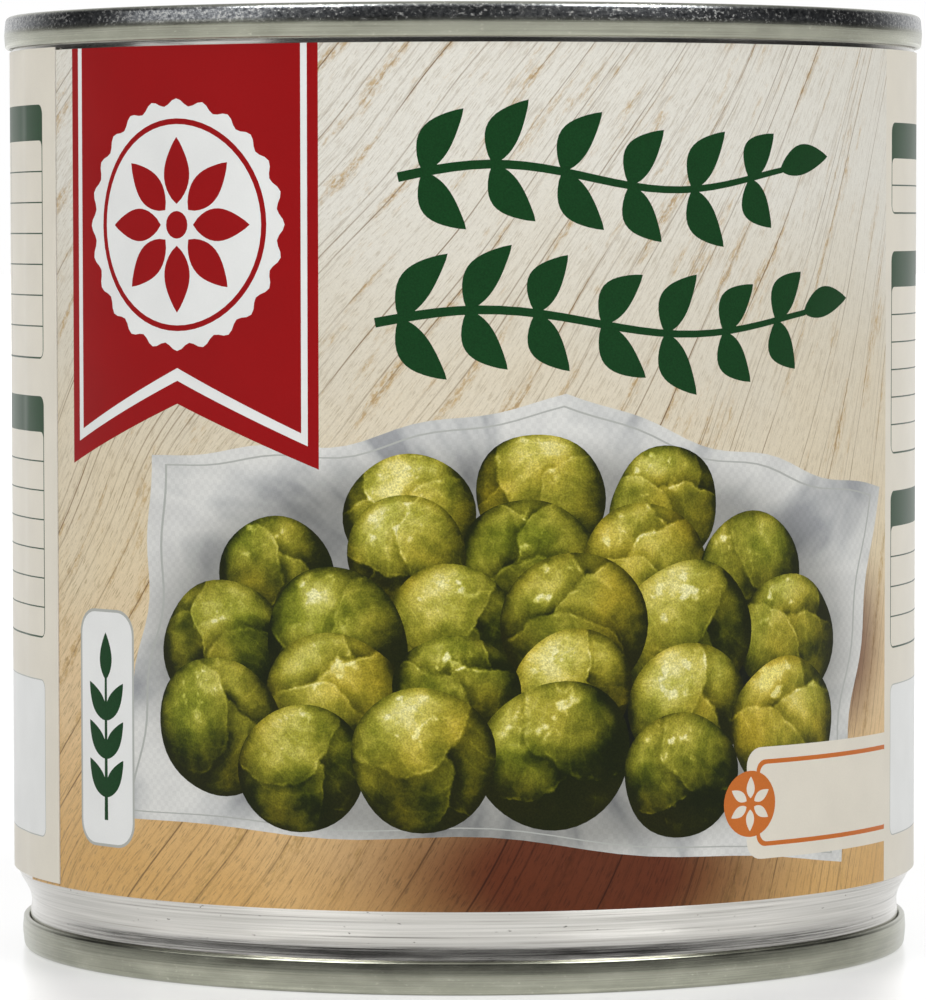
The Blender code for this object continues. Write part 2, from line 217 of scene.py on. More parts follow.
def eased(corners, reach, steps=7):
    """A line with each inner corner replaced by a parabola between the points `reach` before and after it.

    A point at share w of a corner is (1-w)^2 start + 2w(1-w) corner + w^2 end. The reach is cut to half of a
    run that is too short for it, and may be one number or one for each inner corner.
    """
    p = np.array(corners, float)
    before, corner, after = p[:-2], p[1:-1], p[2:]
    back, on = before - corner, after - corner
    back_length = np.linalg.norm(back, axis=1, keepdims=True)
    on_length = np.linalg.norm(on, axis=1, keepdims=True)
    reach = np.broadcast_to(np.reshape(reach, (-1, 1)), (len(corner), 1))
    start = corner + back / back_length * np.minimum(reach, back_length / 2)
    end = corner + on / on_length * np.minimum(reach, on_length / 2)
    w = np.linspace(0, 1, steps)[None, :, None]
    curve = (1 - w) ** 2 * start[:, None] + 2 * w * (1 - w) * corner[:, None] + w**2 * end[:, None]
    line = np.vstack([p[:1], curve.reshape(-1, 2), p[-1:]])
    apart = np.linalg.norm(np.diff(line, axis=0), axis=1) > 1e-6
    return line[np.concatenate([[True], apart])]


def beside(line, distance):
    """The line moved sideways, to its left for a positive distance, along its own normals."""
    run = np.gradient(line, axis=0)
    run /= np.linalg.norm(run, axis=1, keepdims=True)
    return line + distance * np.stack([-run[:, 1], run[:, 0]], axis=1)


def left_of(run):
    """The step of one millimetre to the left of a run."""
    return np.array([-run[1], run[0]]) / np.linalg.norm(run)


def smooth_rise(x, start, length):
    """How far a smooth step has risen at x: 3 s^2 - 2 s^3, with s the share of its length."""
    share = np.clip((x - start) / length, 0, 1)
    return share**2 * (3 - 2 * share)


def pressed_oval(x, y, half_size):
    """How far an oval is pressed in at a point: (1 - q^2)^2, with q the share of the way to its edge."""
    q2 = (x / half_size[0]) ** 2 + (y / half_size[1]) ** 2
    return np.where(q2 < 1, (1 - q2) ** 2, 0)


def grid_faces(rows, columns, wrap_rows, wrap_columns):
    """Quads between neighbouring rows and columns of a grid of points, wrapped where asked."""
    index = np.arange(rows * columns).reshape(rows, columns)
    if wrap_rows:
        index = np.vstack([index, index[:1]])
    if wrap_columns:
        index = np.hstack([index, index[:, :1]])
    quads = [index[:-1, :-1], index[:-1, 1:], index[1:, 1:], index[1:, :-1]]
    return np.stack(quads, axis=-1).reshape(-1, 4)


def turned(section, closed, centre=(0, 0), sides=SIDES):
    """A section of (radius, height) points carried round a vertical axis: (r sin a, -r cos a, h)."""
    angle = math.radians(LAP_AZIMUTH) + np.arange(sides) * 2 * math.pi / sides
    radius, height = section[:, :1], section[:, 1:]
    x = centre[0] + radius * np.sin(angle)
    y = centre[1] - radius * np.cos(angle)
    points = np.stack([x, y, np.broadcast_to(height, x.shape)], axis=-1)
    return points.reshape(-1, 3), grid_faces(len(section), sides, closed, True)


def swept(path, section):
    """A closed section of (outward, up) points carried round a closed path of (x, y, z) points."""
    run = np.roll(path, -1, axis=0) - np.roll(path, 1, axis=0)
    out = np.stack([run[:, 1], -run[:, 0], 0 * run[:, 0]], axis=1)
    out /= np.linalg.norm(out, axis=1, keepdims=True)
    up = np.array([0, 0, 1.0])
    points = path[:, None] + section[None, :, :1] * out[:, None] + section[None, :, 1:] * up
    return points.reshape(-1, 3), grid_faces(len(path), len(section), True, True)


def partition(outlines, extra, walls):
    """Cuts the plane along closed outlines and walls (pairs of points), with extra points between them.

    Returns the points, the triangles, turned counter-clockwise, and the last outline that holds each one.
    """
    points = [Vector(p) for outline in outlines for p in outline]
    sizes = [len(outline) for outline in outlines]
    starts = np.concatenate([[0], np.cumsum(sizes)])
    faces = [list(range(start, start + size)) for start, size in zip(starts, sizes)]
    points += [Vector(p) for p in extra]
    edges = [(len(points) + 2 * i, len(points) + 2 * i + 1) for i in range(len(walls))]
    points += [Vector(p) for wall in walls for p in wall]
    cut, _, triangles, _, _, holders = delaunay_2d_cdt(points, edges, faces, 1, 1e-5, True)
    cut, triangles = np.array(cut), np.array(triangles)
    a, b, c = (cut[triangles[:, i]] for i in range(3))
    area = (b[:, 0] - a[:, 0]) * (c[:, 1] - a[:, 1]) - (b[:, 1] - a[:, 1]) * (c[:, 0] - a[:, 0])
    triangles[area < 0] = triangles[area < 0][:, ::-1]
    top = np.array([max(held, default=-1) for held in holders])
    good = (np.abs(area) > 1e-9) & (top >= 0)
    return cut, triangles[good], top[good]


def shell(outer, inner, triangles):
    """The closed skin of a sheet: triangles on its outer points, reversed on its inner ones, and edges."""
    sides = triangles[:, [0, 1, 1, 2, 2, 0]].reshape(-1, 2)
    key = np.sort(sides, axis=1)
    _, first, count = np.unique(key, axis=0, return_index=True, return_counts=True)
    a, b = sides[first[count == 1]].T
    n = len(outer)
    walls = [np.stack([b, a, a + n], axis=1), np.stack([b, a + n, b + n], axis=1)]
    return np.vstack([outer, inner]), np.vstack([triangles, triangles[:, ::-1] + n, *walls])


def add_object(name, data):
    """Puts a new object into the scene."""
    made = bpy.data.objects.new(name, data)
    bpy.context.scene.collection.objects.link(made)
    return made


def make_piece(name, points, faces, body, slot, replaced, materials, of_face=None, sharp=40):
    """An object at the origin from points in millimetres, which rides and replaces nodes. Its slot is not
    used.
    """
    mesh = bpy.data.meshes.new(name)
    mesh.vertices.add(len(points))
    mesh.vertices.foreach_set("co", (points * MM).ravel())
    mesh.loops.add(faces.size)
    mesh.loops.foreach_set("vertex_index", faces.ravel())
    mesh.polygons.add(len(faces))
    mesh.polygons.foreach_set("loop_start", np.arange(0, faces.size, faces.shape[1]))
    if of_face is not None:
        mesh.polygons.foreach_set("material_index", of_face)
    mesh.update(calc_edges=True)
    for material in materials:
        mesh.materials.append(material)
    mesh.shade_smooth()
    mesh.set_sharp_from_angle(angle=math.radians(sharp))
    piece = add_object(name, mesh)
    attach(piece, body)
    if replaced:
        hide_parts(*replaced)
    return piece


def close_poles(piece):
    """Merges the points of a turned piece that meet on its axis."""
    bm = bmesh.new()
    bm.from_mesh(piece.data)
    bmesh.ops.remove_doubles(bm, verts=bm.verts, dist=WELD)
    bm.to_mesh(piece.data)
    bm.free()


def object_place(node, scale=(1, 1, 1)):
    """Object coordinates in millimetres, scaled along each axis."""
    return node("Mapping", {"Vector": node("TexCoord", out=3), "Scale": [s / MM for s in scale]})


def tinplate_wall(node):
    """Cold-rolled tinplate, bent with its rolling lines round the can: level lines, dull specks, soft shine.

    A line is about 0.2 mm high and 20 mm long, coarser than a real one so that it shows, and a speck is
    0.5 mm across.
    """
    lines = node("TexNoise", {"Vector": object_place(node, (0.06, 0.06, 6.0)), "Scale": 1, "Detail": 6})
    broad = node("TexNoise", {"Vector": object_place(node, (0.09, 0.09, 0.6)), "Scale": 1, "Detail": 2})
    speck = node("TexNoise", {"Vector": object_place(node, (1.5, 1.5, 2.6)), "Scale": 1, "Detail": 3})
    specks = node("MapRange", (speck, 0.70, 0.77, 0.0, 0.35))
    marks = node("Math", (lines, specks), operation="SUBTRACT")
    tones = ((0.20, "#7f7e79"), (0.40, "#c9c7c1"), (0.60, "#d8d6d1"), (0.80, "#e9e7e1"))
    colour = node("ValToRGB", (marks,), stops=tones)
    rough = node("MapRange", (broad, 0.3, 0.7, 0.13, 0.24))
    relief = node("Math", (broad, 5.0, lines), operation="MULTIPLY_ADD")
    height = node("Bump", {"Height": relief, "Strength": 0.25, "Distance": 0.03 * MM})
    return {"Base Color": colour, "Roughness": rough, "Normal": height}


# Other cans and rails rub the top seam above its crease: there it is scuffed dark and nicked, up to its
# bright crest. Each band is where it starts and where it is full, in millimetres above the base
RUBBED_FROM = (83.62, 84.1)
CREST_FROM = (84.95, 85.2)
CLEAN_TONES = ((0.30, "#909183"), (0.55, "#aaab9b"), (0.80, "#c2c3b4"))
SCUFFED_TONES = ((0.38, "#5b5e62"), (0.50, "#9a9da0"), (0.62, "#d0d1cf"))
BARED_METAL = "#d9d8d4"


def tinplate_seam(node):
    """The rolled seam: tin drawn smooth by the seaming roll, with level hairlines, and a scuffed crown.

    A nick is where fine noise of about 0.4 mm is high. It bares the metal, which is paler and rougher. A
    hairline is 0.1 mm high, coarser than a real one so that it shows.
    """
    lines = node("TexNoise", {"Vector": object_place(node, (0.05, 0.05, 8.0)), "Scale": 1, "Detail": 4})
    cloud = node("TexNoise", {"Vector": object_place(node, (0.25, 0.25, 0.7)), "Scale": 1, "Detail": 3})
    nick_at = object_place(node, (2.6, 2.6, 3.8))
    nick = node("TexNoise", {"Vector": nick_at, "Scale": 1, "Detail": 8, "Roughness": 0.66})
    drift = node("TexNoise", {"Vector": object_place(node, (0.22, 0.22, 0.5)), "Scale": 1, "Detail": 2})
    level = node("SeparateXYZ", (object_place(node),)).node.outputs[2]
    upper = node("MapRange", (level, *RUBBED_FROM, 0.0, 1.0))
    below = node("MapRange", (level, *CREST_FROM, 1.0, 0.15))
    crown = node("Math", (upper, below), operation="MINIMUM")
    dense = node("Math", (drift, 0.35, nick), operation="MULTIPLY_ADD")
    nicks = node("MapRange", (dense, 0.76, 0.83, 0.0, 1.0))
    pits = node("MapRange", (nick, 0.40, 0.32, 0.0, 0.25))
    both = node("Math", (lines, cloud), operation="ADD")
    even = node("Math", (both, 0.5, pits), operation="MULTIPLY_ADD")
    clean = node("ValToRGB", (even,), stops=CLEAN_TONES)
    scuffed = node("ValToRGB", (nick,), stops=SCUFFED_TONES)
    worn = node("Mix", {0: crown, 6: clean, 7: scuffed}, out=2, data_type="RGBA")
    bare = node("Math", (nicks, crown), operation="MULTIPLY")
    colour = node("Mix", {0: bare, 6: worn, 7: linear(BARED_METAL)}, out=2, data_type="RGBA")
    smooth = node("MapRange", (cloud, 0.3, 0.7, 0.20, 0.26))
    rough = node("Math", (bare, 0.18, smooth), operation="MULTIPLY_ADD")
    nicked = node("Math", (nick, crown), operation="MULTIPLY")
    relief = node("Math", (nicked, 0.9, lines), operation="MULTIPLY_ADD")
    height = node("Bump", {"Height": relief, "Strength": 0.16, "Distance": 0.02 * MM})
    return {"Base Color": colour, "Roughness": rough, "Normal": height}


def tinplate_panel(node):
    """The end's panel under clear lacquer: straight rolling lines across the sheet and a soft sheen.

    A line is about 0.25 mm wide, coarser than a real one so that it shows.
    """
    lines = node("TexNoise", {"Vector": object_place(node, (0.03, 4.0, 0.5)), "Scale": 1, "Detail": 5})
    cloud = node("TexNoise", {"Vector": object_place(node), "Scale": 0.12, "Detail": 3})
    both = node("Math", (lines, cloud), operation="ADD")
    rough = node("MapRange", (both, 0.6, 1.4, 0.22, 0.38))
    colour = node("ValToRGB", (both,), stops=((0.30, "#bdbbb4"), (0.75, "#d9d7d0")))
    height = node("Bump", {"Height": lines, "Strength": 0.12, "Distance": 0.02 * MM})
    return {"Base Color": colour, "Roughness": rough, "Normal": height}


def tab_steel(node):
    """Tinned steel of the tab, rubbed across its width by the dies, with handling marks of about 1 mm."""
    rub = node("TexNoise", {"Vector": object_place(node, (0.25, 2.5, 2.5)), "Scale": 1, "Detail": 5})
    spots = node("TexNoise", {"Vector": object_place(node), "Scale": 0.9, "Detail": 6})
    marks = node("MapRange", (spots, 0.58, 0.70, 0.22, 0.42))
    colour = node("ValToRGB", (rub,), stops=((0.30, "#c6c5c1"), (0.70, "#e4e3df")))
    height = node("Bump", {"Height": rub, "Strength": 0.10, "Distance": 0.02 * MM})
    return {"Base Color": colour, "Roughness": marks, "Normal": height}


def rubber_compound(node):
    """Sealing compound in the seam: grey latex rubber, dull, with a grain of about 0.2 mm."""
    grain = node("TexNoise", {"Vector": object_place(node), "Scale": 6.0, "Detail": 3})
    colour = node("ValToRGB", (grain,), stops=((0.3, "#8d8c84"), (0.7, "#a5a49b")))
    height = node("Bump", {"Height": grain, "Strength": 0.2, "Distance": 0.03 * MM})
    return {"Base Color": colour, "Normal": height}


def cooked_leaf(node):
    """Cooked sprout leaves: soft olive green, paler veins that branch about 3 mm apart, and a wet sheen."""
    place = object_place(node)
    cloud = node("TexNoise", {"Vector": place, "Scale": 0.16, "Detail": 4})
    veins = node("TexVoronoi", {"Vector": place, "Scale": 0.30}, feature="DISTANCE_TO_EDGE")
    thin = node("MapRange", (veins, 0.0, 0.06, 0.22, 0.0))
    tone = node("Math", (cloud, thin), operation="ADD")
    colour = node("ValToRGB", (tone,), stops=((0.30, "#3d4a1a"), (0.52, "#6d7a2c"), (0.85, "#b3b565")))
    height = node("Bump", {"Height": tone, "Strength": 0.3, "Distance": 0.2 * MM})
    return {"Base Color": colour, "Normal": height}


def print_place(node):
    """Where a point of the label lies in its own motif: the UV map that the label's pieces share."""
    return node("UVMap", uv_map="motif")


def paper_relief(node):
    """Paper under varnish: a faint cockle of about 10 mm, and the paper's tooth of 0.2 mm."""
    cockle = node("TexNoise", {"Vector": object_place(node), "Scale": 0.09, "Detail": 2})
    tooth = node("TexNoise", {"Vector": object_place(node), "Scale": 5.0, "Detail": 2})
    small = node("Math", (tooth, 0.02, cockle), operation="MULTIPLY_ADD")
    return node("Bump", {"Height": small, "Strength": 0.35, "Distance": 0.25 * MM})


def printed(node, colour, amount):
    """An ink on the label: its screen's grain lightens and darkens it in specks of about 0.15 mm."""
    grain = node("TexNoise", {"Vector": object_place(node), "Scale": 6.5, "Detail": 1})
    value = node("MapRange", (grain, 0.3, 0.7, 1 - amount, 1 + amount))
    speckled = node("HueSaturation", {"Value": value, "Color": colour})
    return {"Base Color": speckled, "Normal": paper_relief(node)}


def flat_ink(colour, amount):
    """A pattern for one flat ink, with the grain of its printing screen."""

    def pattern(node):
        """The ink lies a little thicker and thinner over some 5 mm."""
        broad = node("TexNoise", {"Vector": object_place(node), "Scale": 0.2, "Detail": 2})
        value = node("MapRange", (broad, 0.3, 0.7, 0.97, 1.03))
        even = node("HueSaturation", {"Value": value, "Color": linear(colour)})
        return printed(node, even, amount)

    return pattern


# The boards run towards a point above the label's right edge, in millimetres from the front's lower left,
# and are measured across at a distance from it
BOARDS_MEET_AT = (129, 167)
BOARD_REFERENCE = 170
# The paint's tones from the foot of the label to its top, and the tints of what shows through it
PAINT_TONES = ((0.16, "#cca367"), (0.34, "#d8b98b"), (0.54, "#d9c9a9"), (0.80, "#d3ccbb"), (1.0, "#dad7cd"))
BARE_WOOD, OPEN_PORES, OPEN_JOINTS = "#b3925a", "#8a7551", "#745a3c"
# The cloth's soft shadows on the boards, below it and to its right: each one's middle and half-sizes
CLOTH_SHADOWS = ((54.0, 3.0, 24.0, 12.0), (80.0, 22.0, 11.0, 10.0))
CLOTH_SHADOW_TINT = "#754c4a"


def oval_shade(node, at, oval, edge, depth):
    """How deep an oval shades a point: fully within the first share of its radius, not past the second."""
    x, y, half_x, half_y = oval
    from_middle = node("VectorMath", (at, (x, y, 0)), operation="SUBTRACT")
    scaled = node("VectorMath", (from_middle, (1 / half_x, 1 / half_y, 0)), operation="MULTIPLY")
    reach = node("VectorMath", (scaled,), out=1, operation="LENGTH")
    return node("MapRange", (reach, *edge, depth, 0.0), interpolation_type="SMOOTHSTEP")


def board_print(node):
    """Whitewashed boards in perspective: pale paint at the top, bare wood below, joints and broken grain.

    With d the vector from the meeting point, the boards' cross direction is atan2(dx, -dy) times a reference
    distance, and their length is |d|. Each pattern is noise on those two, squeezed along the boards. A board
    is about 5 mm wide as printed, a crack is 1 mm from the next, and a pore is 0.1 mm wide.
    """
    at = print_place(node)
    away = node("VectorMath", (at, (*BOARDS_MEET_AT, 0)), operation="SUBTRACT")
    parts = node("SeparateXYZ", (away,)).node
    down = node("Math", (parts.outputs[1], -1.0), operation="MULTIPLY")
    angle = node("Math", (parts.outputs[0], down), operation="ARCTAN2")
    along = node("VectorMath", (away,), out=1, operation="LENGTH")
    across = node("Math", (angle, BOARD_REFERENCE), operation="MULTIPLY")
    wander_at = node("CombineXYZ", (across, along))
    wander = node("TexNoise", {"Vector": wander_at, "Scale": 0.030, "Detail": 1})
    bent = node("Math", (wander, 7.0, across), operation="MULTIPLY_ADD")

    def grain(squeeze, **settings):
        """Noise that follows the boards, squeezed along them by a share."""
        run = node("Math", (along, squeeze), operation="MULTIPLY")
        return node("TexNoise", {"Vector": node("CombineXYZ", (bent, run)), **settings})

    flat = node("SeparateXYZ", (at,)).node
    share = node("MapRange", (flat.outputs[1], 0.0, LABEL_TALL, 0.0, 1.0))
    split = {"voronoi_dimensions": "1D", "feature": "DISTANCE_TO_EDGE"}
    joint = node("TexVoronoi", {"W": bent, "Scale": 0.21}, **split)
    hair = node("TexVoronoi", {"W": bent, "Scale": 0.9}, **split)
    joint_line = node("MapRange", (joint, 0.006, 0.022, 1.0, 0.0))
    hair_line = node("MapRange", (hair, 0.02, 0.10, 1.0, 0.0))
    kept = node("MapRange", (grain(0.10, Scale=0.45, Detail=3), 0.44, 0.60, 0.15, 0.9))
    found = node("MapRange", (grain(0.05, Scale=0.30, Detail=4), 0.48, 0.62, 0.0, 0.65))
    joints = node("Math", (joint_line, kept), operation="MULTIPLY")
    calm = node("MapRange", (flat.outputs[0], 76.0, 100.0, 1.0, 0.35))
    low = node("MapRange", (share, 0.10, 0.45, 0.22, 0.0))
    more = node("Math", (found, low), operation="MAXIMUM")
    hairs = node("Math", (hair_line, more), operation="MULTIPLY")
    every_line = node("Math", (joints, hairs), operation="MAXIMUM")
    lines = node("Math", (every_line, calm), operation="MULTIPLY")

    coarse = grain(0.08, Scale=3.4, Detail=5, Roughness=0.65)
    dashes = node("MapRange", (coarse, 0.52, 0.72, 0.0, 0.60))
    area = node("TexNoise", {"Vector": at, "Scale": 0.06, "Detail": 3})
    busy = node("MapRange", (area, 0.38, 0.60, 0.30, 1.0))
    broken = node("Math", (dashes, busy), operation="MULTIPLY")
    pore = node("MapRange", (grain(0.10, Scale=8.0, Detail=3), 0.55, 0.66, 0.0, 1.0))
    pore_depth = node("MapRange", (share, 0.25, 0.65, 0.62, 0.34))
    pores = node("Math", (pore, pore_depth), operation="MULTIPLY")
    either = node("Math", (broken, pores), operation="MAXIMUM")
    dashed = node("Math", (either, calm), operation="MULTIPLY")
    patch = node("TexNoise", {"Vector": at, "Scale": 0.05, "Detail": 3})
    patched = node("Math", (patch, 0.30, share), operation="MULTIPLY_ADD")
    streak = grain(0.20, Scale=0.38, Detail=7, Roughness=0.75)
    by_joint = node("MapRange", (joint, 0.0, 0.16, 0.10, 0.0))
    worn_at = node("Math", (streak, by_joint), operation="ADD")
    worn = node("MapRange", (worn_at, 0.56, 0.66, 0.0, 0.75))
    crumb = grain(0.45, Scale=2.6, Detail=4, Roughness=0.7)
    rubbed = node("MapRange", (crumb, 0.44, 0.56, 0.12, 1.0))
    bared = node("Math", (worn, rubbed), operation="MULTIPLY")
    colour = node("ValToRGB", (patched,), stops=PAINT_TONES)
    for depth, tint in ((bared, BARE_WOOD), (dashed, OPEN_PORES), (lines, OPEN_JOINTS)):
        colour = node("Mix", {0: depth, 6: colour, 7: linear(tint)}, out=2, data_type="RGBA")
    for shadow in CLOTH_SHADOWS:
        dark = oval_shade(node, at, shadow, (0.30, 1.17), 1.0)
        inputs = {0: dark, 6: colour, 7: linear(CLOTH_SHADOW_TINT)}
        colour = node("Mix", inputs, out=2, data_type="RGBA", blend_type="MULTIPLY")
    return printed(node, colour, 0.04)


# Outer leaves of a pictured sprout: each one's middle, reach, foot and tone, with the sprout's radius as 1
PICTURED_LEAVES = (
    ((-0.70, 0.10), 1.05, (-0.75, -1.05), -0.05),
    ((0.62, -0.22), 0.98, (0.62, -1.20), 0.03),
    ((-0.25, -0.78), 0.95, (-0.05, -1.35), -0.01),
)
PRINT_LIGHT = (-0.20, 0.60, 0.775)
LEAF_TONES = (
    (0.0, "#0c0e05"),
    (0.14, "#2b2f07"),
    (0.32, "#53530f"),
    (0.50, "#7a781f"),
    (0.66, "#9d9835"),
    (0.82, "#c1bb5d"),
    (1.0, "#dedaa0"),
)
YELLOWED, FRESH = "#c4a64c", "#5a8c50"


def sprout_print(node):
    """A pictured sprout: a ball lit from above, wrapped in leaves with thin broken rims, veins, soft shade.

    The ball's normal is (s, t, sqrt(1 - s^2 - t^2)). A leaf is the inside of a warped circle: its rim is
    paler, and it shades the leaf below just outside that circle. Its veins are rays from its foot.
    """
    at = print_place(node)
    seed = node("Attribute", out=2, attribute_name="seed")
    far = node("VectorMath", (at, at), out=1, operation="DOT_PRODUCT")
    rest = node("Math", (1.0, far), operation="SUBTRACT", use_clamp=True)
    front = node("Math", (rest,), operation="SQRT")
    flat = node("SeparateXYZ", (at,)).node
    normal = node("CombineXYZ", (flat.outputs[0], flat.outputs[1], front))
    lit = node("VectorMath", (normal, PRINT_LIGHT), out=1, operation="DOT_PRODUCT")

    turn = node("Math", (seed, 5.6, -2.8), operation="MULTIPLY_ADD")
    turned_at = node("VectorRotate", {"Vector": at, "Angle": turn})
    apart = node("Math", (seed, 37.0), operation="MULTIPLY")
    noise_at = node("VectorMath", (turned_at, node("CombineXYZ", {2: apart})), operation="ADD")
    warp = node("TexNoise", {"Vector": noise_at, "Scale": 1.5, "Detail": 5, "Roughness": 0.55}, out=1)
    warped = node("VectorMath", (warp, (0.55, 0.55, 0.0), turned_at), operation="MULTIPLY_ADD")
    warped = node("VectorMath", (warped, (0.27, 0.27, 0.0)), operation="SUBTRACT")
    cloud = node("TexNoise", {"Vector": noise_at, "Scale": 2.2, "Detail": 7, "Roughness": 0.62})
    fleck = node("TexNoise", {"Vector": noise_at, "Scale": 4.5, "Detail": 3})
    mottle = node("MapRange", (cloud, 0.3, 0.7, -0.20, 0.20))
    broken = node("MapRange", (fleck, 0.44, 0.64, 0.02, 0.22))
    tone = mottle
    for middle, reach, foot, lightness in PICTURED_LEAVES:
        offset = node("VectorMath", (warped, (*middle, 0)), out=1, operation="DISTANCE")
        outside = node("Math", (offset, reach), operation="SUBTRACT")
        over = node("MapRange", (outside, -0.02, 0.02, 1.0, 0.0))
        shadow = node("MapRange", (outside, 0.0, 0.24, 0.25, 0.0))
        from_rim = node("Math", (outside, 0.03), operation="ADD")
        near_rim = node("Math", (from_rim,), operation="ABSOLUTE")
        rim = node("MapRange", (near_rim, 0.0, 0.04, broken, 0.0))
        ray = node("VectorMath", (warped, (*foot, 0)), operation="SUBTRACT")
        parts = node("SeparateXYZ", (ray,)).node
        angle = node("Math", (parts.outputs[0], parts.outputs[1]), operation="ARCTAN2")
        bowed = node("Math", (outside, 0.35, angle), operation="MULTIPLY_ADD")
        wave = node("Math", (bowed, 17.0), operation="MULTIPLY")
        swing = node("Math", (node("Math", (wave,), operation="SINE"),), operation="ABSOLUTE")
        vein = node("MapRange", (swing, 0.0, 0.34, 0.06, 0.0))
        rounding = node("Math", (outside, -0.12, lightness - 0.03), operation="MULTIPLY_ADD")
        leaf = rounding
        for part in (vein, rim, mottle):
            leaf = node("Math", (leaf, part), operation="ADD")
        below = node("Math", (tone, shadow), operation="SUBTRACT")
        tone = node("Mix", {0: over, 2: below, 3: leaf}, data_type="FLOAT")
    own = node("Math", (node("Math", (seed, 7.0), operation="MULTIPLY"),), operation="FRACT")
    own_tone = node("MapRange", (own, 0.0, 1.0, -0.17, 0.12))
    facing = node("Math", (lit, 0.34, 0.30), operation="SMOOTH_MAX")
    bright = node("Math", (facing, 0.92, -0.13), operation="MULTIPLY_ADD")
    limb = node("MapRange", (far, 0.68, 1.0, 0.0, 0.24))
    hollow = node("MapRange", (flat.outputs[1], 0.30, -0.95, 0.0, 0.05))
    total = bright
    for part, operation in ((tone, "ADD"), (own_tone, "ADD"), (limb, "SUBTRACT"), (hollow, "SUBTRACT")):
        total = node("Math", (total, part), operation=operation)
    total = node("Math", (total, 0.06, 0.12), operation="SMOOTH_MAX")
    wet_at = node("MapRange", (lit, 0.78, 0.98, 0.0, 1.0))
    glint = node("MapRange", (fleck, 0.59, 0.70, 0.0, 0.40))
    wet = node("Math", (wet_at, glint, total), operation="MULTIPLY_ADD")
    green = node("ValToRGB", (wet,), stops=LEAF_TONES)
    hue_noise = node("TexNoise", {"Vector": noise_at, "Scale": 1.1, "Detail": 3})
    hue_at = node("Math", (own, 0.22, hue_noise), operation="MULTIPLY_ADD")
    yellow = node("MapRange", (hue_at, 0.56, 0.86, 0.0, 0.55))
    cool = node("MapRange", (hue_at, 0.56, 0.38, 0.0, 0.50))
    colour = green
    for depth, tint, blend in ((yellow, YELLOWED, "OVERLAY"), (cool, FRESH, "SOFT_LIGHT")):
        inputs = {0: depth, 6: colour, 7: linear(tint)}
        colour = node("Mix", inputs, out=2, data_type="RGBA", blend_type=blend)
    return printed(node, colour, 0.26)


def heap_shade_print(node):
    """The deep shade between pictured sprouts: nearly black green with dim leaf patches."""
    dim = node("TexNoise", {"Vector": print_place(node), "Scale": 0.35, "Detail": 4})
    colour = node("ValToRGB", (dim,), stops=((0.38, "#080a08"), (0.58, "#14180c"), (0.75, "#2f360f")))
    return printed(node, colour, 0.10)


LINEN_TONES = ((0.50, "#9b9d9f"), (0.62, "#c2c3c1"), (0.74, "#d6d6d2"), (0.86, "#cdcdca"))
# The shade under the pictured heap: its middle and half-sizes about the cloth's middle
HEAP_SHADE = (0, 0, 33.0, 17.0)
HEAP_SHADE_TINT = "#5f5f58"


def linen_print(node):
    """A pictured white linen cloth: soft folds that run out from under the heap, its shadow, and the weave.

    A fold is noise on (cos a, sin a, r / 60), a the direction and r the distance from the cloth's middle.
    A check of the weave is 0.45 mm, as coarse as it has to be to show.
    """
    at = print_place(node)
    outward = node("VectorMath", (at,), operation="NORMALIZE")
    away = node("VectorMath", (at,), out=1, operation="LENGTH")
    lift = node("CombineXYZ", {2: node("Math", (away, 1 / 60), operation="MULTIPLY")})
    fold_at = node("VectorMath", (outward, lift), operation="ADD")
    folds = node("TexNoise", {"Vector": fold_at, "Scale": 4.2, "Detail": 3, "Distortion": 0.4})
    crease = node("TexNoise", {"Vector": at, "Scale": 0.14, "Detail": 3, "Distortion": 0.6})
    shade = node("Math", (crease, 0.35, folds), operation="MULTIPLY_ADD")
    colour = node("ValToRGB", (shade,), stops=LINEN_TONES)
    dark = oval_shade(node, at, HEAP_SHADE, (0.90, 1.18), 0.62)
    threads = {"Color1": linear("#f9f9f9"), "Color2": linear("#ffffff"), "Scale": 2.2}
    weave = node("TexChecker", {"Vector": at, **threads})
    for depth, tint in ((dark, linear(HEAP_SHADE_TINT)), (1.0, weave)):
        colour = node("Mix", {0: depth, 6: colour, 7: tint}, out=2, data_type="RGBA", blend_type="MULTIPLY")
    return printed(node, colour, 0.03)


def bare_paper(node):
    """The label's unprinted back and cut edges: uncoated white paper, with fibres of about 0.5 mm."""
    fibre = node("TexNoise", {"Vector": object_place(node, (1, 1, 2.5)), "Scale": 2.0, "Detail": 5})
    return {"Base Color": node("ValToRGB", (fibre,), stops=((0.3, "#d9d6ce"), (0.7, "#ebe8e1")))}


# What is printed in each ink, by the ink's short name: its material's name and pattern
PRINTS = {
    "boards": ("whitewashed_board_print", board_print),
    "linen": ("white_linen_print", linen_print),
    "shade": ("heap_shade_print", heap_shade_print),
    "sprout": ("sprout_print", sprout_print),
    "red": ("red_ink", flat_ink("#900509", 0.03)),
    "white": ("white_ink", flat_ink("#dfe0de", 0.01)),
    "green": ("dark_green_ink", flat_ink("#0e3a18", 0.16)),
    "cream": ("cream_ink", flat_ink("#d9d3c5", 0.015)),
    "orange": ("orange_ink", flat_ink("#c06a2c", 0.04)),
    "grey": ("grey_ink", flat_ink("#a9aba6", 0.02)),
}
VARNISH = {"roughness": 0.36, "specular_ior_level": 0.16}


def label_materials():
    """The label's inks by name, all under the same satin varnish, and the bare paper last."""
    inks = {ink: make_material(*look, **VARNISH) for ink, look in PRINTS.items()}
    return {**inks, "paper": make_material("uncoated_paper", bare_paper, roughness=0.8)}


def full_turn(count):
    """Equal angles from nought round to just before a full turn."""
    return np.arange(count) * 2 * math.pi / count


